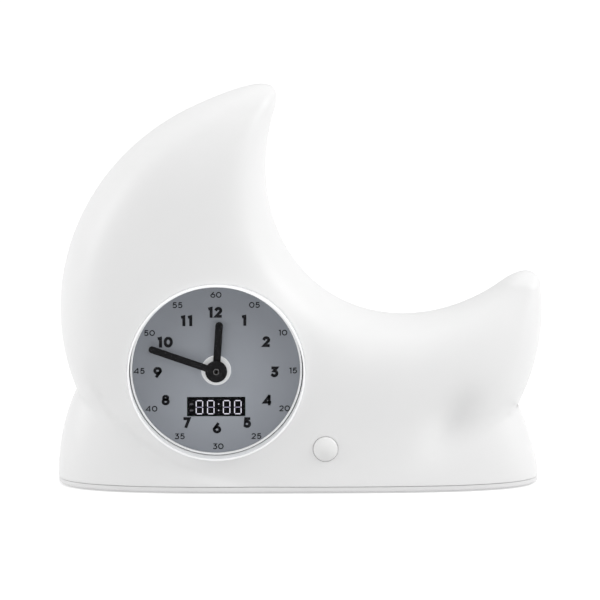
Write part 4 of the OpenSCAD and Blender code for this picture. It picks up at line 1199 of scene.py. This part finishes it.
def front_button():
    """Domed button: a cap that falls with the square of the radius, a rounded shoulder, the
    stem's collar and the stem."""
    low, high = span("front_button")
    apex, collar, end = low[1], low[1] + COLLAR_FACE, high[1]
    a = np.linspace(0, 1, 16)
    cap_r, brow = BUTTON_R - DOME_INSET, apex + DOME_SHARE * BUTTON_RISE
    dome = np.stack([a * cap_r, apex + (brow - apex) * a ** 2], -1)
    shoulder = rounded([(cap_r, brow), (BUTTON_R, apex + BUTTON_RISE + SIDE_BELOW),
                        (BUTTON_R, collar)], [0, SHOULDER_R, 0])[:-1]
    wide, below = BUTTON_R + COLLAR_W, collar + COLLAR_T
    rest = [(BUTTON_R, collar), (wide, collar), (wide, below), (STEM_R, below), (STEM_R, end),
            (0, end)]
    profile = np.concatenate([dome, shoulder, rest])
    rebuilt("dome_button", "front_button", lathe(profile, BUTTON, 96), KEY_CAP, 40)


def knob_flutes(a):
    """Factor on the knob's radius: one, less the cube of a cosine that peaks at each flute."""
    return 1 - FLUTE_DEPTH * (0.5 + 0.5 * np.cos(FLUTES * a)) ** 3


def time_knob():
    """Fluted knob with rounded edges and a shallow dish in its rear face."""
    low, high = span("set_knob")
    r, dish_y = radius_of("set_knob"), high[1] - DISH_DEPTH
    rim = rounded(rectangle((0, low[1]), (r, high[1])), [0, KNOB_FRONT_EDGE, KNOB_REAR_EDGE, 0])
    dish = [(r * DISH_TOP, high[1]), (r * DISH_FLOOR, dish_y), (0, dish_y)]
    profile = np.concatenate([rim[:-1], dish])
    rebuilt("ribbed_knob", "set_knob", lathe(profile, KNOB, 216, knob_flutes), KEY_CAP, 50)


def rear_controls():
    """Panel, keys, switch, inlet and the knob's cup, each with its own edge."""
    for node, edge in {"control_panel": 0.3, "light_key": 0.15, "hour_key": 0.15,
                       "minute_key": 0.15, "alarm_switch": 0.15, "power_inlet": 0.1,
                       "knob_cup": 0.25}.items():
        polished(node, edge)


# ---- Base ----

# The plate stands back under the shells, leaves a gap below them and has a rounded lower edge
PLATE_INSET, PLATE_GAP, PLATE_EDGE = 0.2, 0.2, 0.5
# The door's hinge pins past its sides, its tongue, its room at the hinge and its corners
PIN_REACH, TONGUE, TONGUE_R = 2.8, 7.2, 4
HINGE_ROOM, DOOR_CORNER = 0.6, 0.5
# Feet, to each side of both axes, and the recesses of feet and screws
FOOT_PLACE, FOOT_BORE, FOOT_RECESS = (84, 20), 5.1, 1
SCREW_RECESS = 1.4
# Speaker's holes: count and radius of each ring, radius of a hole
HOLE_RINGS, HOLE_R = ((1, 0), (6, 5.5), (12, 11)), 1.3
# How far cutters reach past the plate
PAST = 2


def foot_outline(inset, steps=240):
    """Squared-off ellipse of the foot: powers of the cosine and sine of the angle."""
    a = np.linspace(0, 2 * np.pi, steps, endpoint=False)
    e = 2 / FOOT_POWER
    c, s = np.cos(a), np.sin(a)
    return np.stack([FOOT_X + (FOOT_W / 2 - inset) * np.sign(c) * np.abs(c) ** e,
                     (FOOT_D / 2 - inset) * np.sign(s) * np.abs(s) ** e], -1)


def base_plate():
    """Plate under the shells with its lower edge rounded, cut for the battery door, the feet,
    the screws and the speaker."""
    bottom, top = span("base_plate")[0][2], SHELL_Z - PLATE_GAP
    plate = rebuilt("base_plate_moulded", "base_plate",
                    slab(foot_outline(PLATE_INSET), top, bottom, PLATE_EDGE, FLAT), PLATE)

    def hole(outline, level=top + PAST):
        """Cutter from below the plate up to a level, or right through."""
        return cutter(outline, bottom - PAST, level, FLAT)

    low, high = (corner[:2] for corner in span("battery_door"))
    opening = rectangle(low + (PIN_REACH - FIT, TONGUE - FIT), high + (FIT - PIN_REACH, HINGE_ROOM))
    tongue = ((low[0] + high[0]) / 2, low[1] + TONGUE_R)
    cutters = [hole(rounded(opening, DOOR_CORNER)), hole(ring_of(tongue, TONGUE_R + FIT))]
    for x in (-FOOT_PLACE[0], FOOT_PLACE[0]):
        for y in (-FOOT_PLACE[1], FOOT_PLACE[1]):
            cutters.append(hole(ring_of((x, y), FOOT_BORE), bottom + FOOT_RECESS))
    for place in middles("base_screws", [0, 1]):
        cutters.append(hole(ring_of(place, HEAD_BORE, 40), bottom + SCREW_RECESS))
    speaker = (sum(span("speaker")) / 2)[:2]
    for count, radius in HOLE_RINGS:
        for place in ring_of(speaker, radius, count):
            cutters.append(hole(ring_of(place, HOLE_R, 24)))
    cut_away(plate, cutters)


def underside():
    """Rubber feet and the battery door."""
    polished("rubber_feet", 0.3)
    polished("battery_door", 0.12)


# ---- Screws ----

# Half length of a recess's bars for the large and the small screws, their width for that, and
# how deep the recesses are
LARGE_CROSS, SMALL_CROSS, CROSS_WIDTH = 1.7, 1.3, 0.24
CASE_CROSS_DEPTH, BASE_CROSS_DEPTH = 1.4, 0.8
# How far a recess's cutter stands out of the head
CROSS_PROUD = 1


def cross_cutters(places, size, face, floor, plane):
    """Two crossed bars for each place, from outside the head's face to the recess's floor."""
    bars = [place + np.array(half) * rectangle((-1, -1), (1, 1)) for place in places
            for half in ((size, size * CROSS_WIDTH), (size * CROSS_WIDTH, size))]
    return [cutter(bar, floor, face, plane) for bar in bars]


def screws():
    """Case screws face the rear; base screws and the door's screw face down."""
    case, face = polished("case_screws", 0.25), SCREW_SEAT + SCREW_HEAD
    cut_away(case, cross_cutters(middles("case_screws", [0, 2]), LARGE_CROSS,
                                 face + CROSS_PROUD, face - CASE_CROSS_DEPTH, FRONT))
    for node, size in (("base_screws", LARGE_CROSS), ("door_screw", SMALL_CROSS)):
        made, face = polished(node, 0.2), span(node)[0][2]
        cut_away(made, cross_cutters(middles(node, [0, 1]), size,
                                     face - CROSS_PROUD, face + BASE_CROSS_DEPTH, FLAT))


# ---- Studio, in metres ----

# The camera's direction from the clock, in degrees, its distance, what it looks at, and the
# width of its field there
CAMERA_AZIMUTH, CAMERA_ELEVATION = -1.0, 9.3
CAMERA_DISTANCE = 2.5
VIEW_MIDDLE = Vector((0, 0, 0.08324))
FIELD_WIDTH = 0.276
# Half width of the floor, in millimetres, its colour, and its own glow to the camera
FLOOR_HALF = 20000
FLOOR_TONE, FLOOR_GLOW = (0.7, 0.7, 0.7), (0.5, 0.5, 0.5, 1)
# Strength of the world as a light, and as the camera sees it
ROOM_LIGHT, ROOM_SEEN = 0.82, 1.0
LIGHT_AIM = Vector((0, 0, 0.08))
# Place, size and power of each light
LIGHTS = {"right_light": ((1.1, -0.25, 0.8), 0.7, 5.5),
          "left_light": ((-1.2, -0.25, 0.6), 0.8, 3.6),
          "top_light": ((0.1, 0.1, 1.3), 0.9, 1.0)}


def aim(made, direction):
    """Turns a camera or a light to look along a direction."""
    made.rotation_euler = direction.to_track_quat("-Z", "Y").to_euler()


def camera():
    """Camera at the photograph's angle: a long lens whose field at the clock is FIELD_WIDTH."""
    a, e = math.radians(CAMERA_AZIMUTH), math.radians(CAMERA_ELEVATION)
    direction = Vector((math.sin(a) * math.cos(e), -math.cos(a) * math.cos(e), math.sin(e)))
    data = bpy.data.cameras.new("camera")
    data.sensor_width = 36
    data.lens = data.sensor_width * CAMERA_DISTANCE / FIELD_WIDTH
    data.clip_end = 100
    made = show("camera", data)
    made.location = VIEW_MIDDLE + direction * CAMERA_DISTANCE
    aim(made, -direction)
    bpy.context.scene.camera = made


def floor():
    """Wide pale floor that the camera sees as white, except in the clock's shadow."""
    corners = rectangle((-FLOOR_HALF, -FLOOR_HALF), (FLOOR_HALF, FLOOR_HALF))
    finish = Finish("pale_floor", FLOOR_TONE, roughness=0.9).set(Emission_Color=FLOOR_GLOW)
    light_path = finish.nodes.new("ShaderNodeLightPath")
    seen = finish.nodes.new("ShaderNodeMath")
    seen.operation = "MAXIMUM"
    finish.links.new(light_path.outputs["Is Camera Ray"], seen.inputs[0])
    finish.links.new(light_path.outputs["Is Glossy Ray"], seen.inputs[1])
    finish.links.new(seen.outputs["Value"], finish.shader.inputs["Emission Strength"])
    points = [(x, y, 0) for x, y in corners]
    to_object("floor", (points, [[0, 1, 2, 3]]), finish.material)


def world():
    """White room, a little dimmer as a light than the camera sees it."""
    scene = bpy.context.scene
    scene.world = bpy.data.worlds.new("white_room")
    scene.world.use_nodes = True
    tree = scene.world.node_tree
    background = tree.nodes["Background"]
    background.inputs["Color"].default_value = (1, 1, 1, 1)
    light_path = tree.nodes.new("ShaderNodeLightPath")
    level = tree.nodes.new("ShaderNodeMapRange")
    level.inputs["To Min"].default_value = ROOM_LIGHT
    level.inputs["To Max"].default_value = ROOM_SEEN
    tree.links.new(light_path.outputs["Is Camera Ray"], level.inputs["Value"])
    tree.links.new(level.outputs["Result"], background.inputs["Strength"])


def soft_light(name, place, size, power):
    """Round soft light aimed at the middle of the clock."""
    data = bpy.data.lights.new(name, "AREA")
    data.shape, data.size, data.energy = "DISK", size, power
    made = show(name, data)
    made.location = place
    aim(made, LIGHT_AIM - Vector(place))


def studio():
    """Camera, floor, white room and three soft lights."""
    camera()
    floor()
    world()
    for name, light in LIGHTS.items():
        soft_light(name, *light)
    bpy.context.scene.view_settings.view_transform = "Standard"


finish_packed_nodes()
shells()
wells()
lens()
dial_rings()
hands()
numerals()
display()
front_button()
time_knob()
rear_controls()
base_plate()
underside()
screws()
studio()
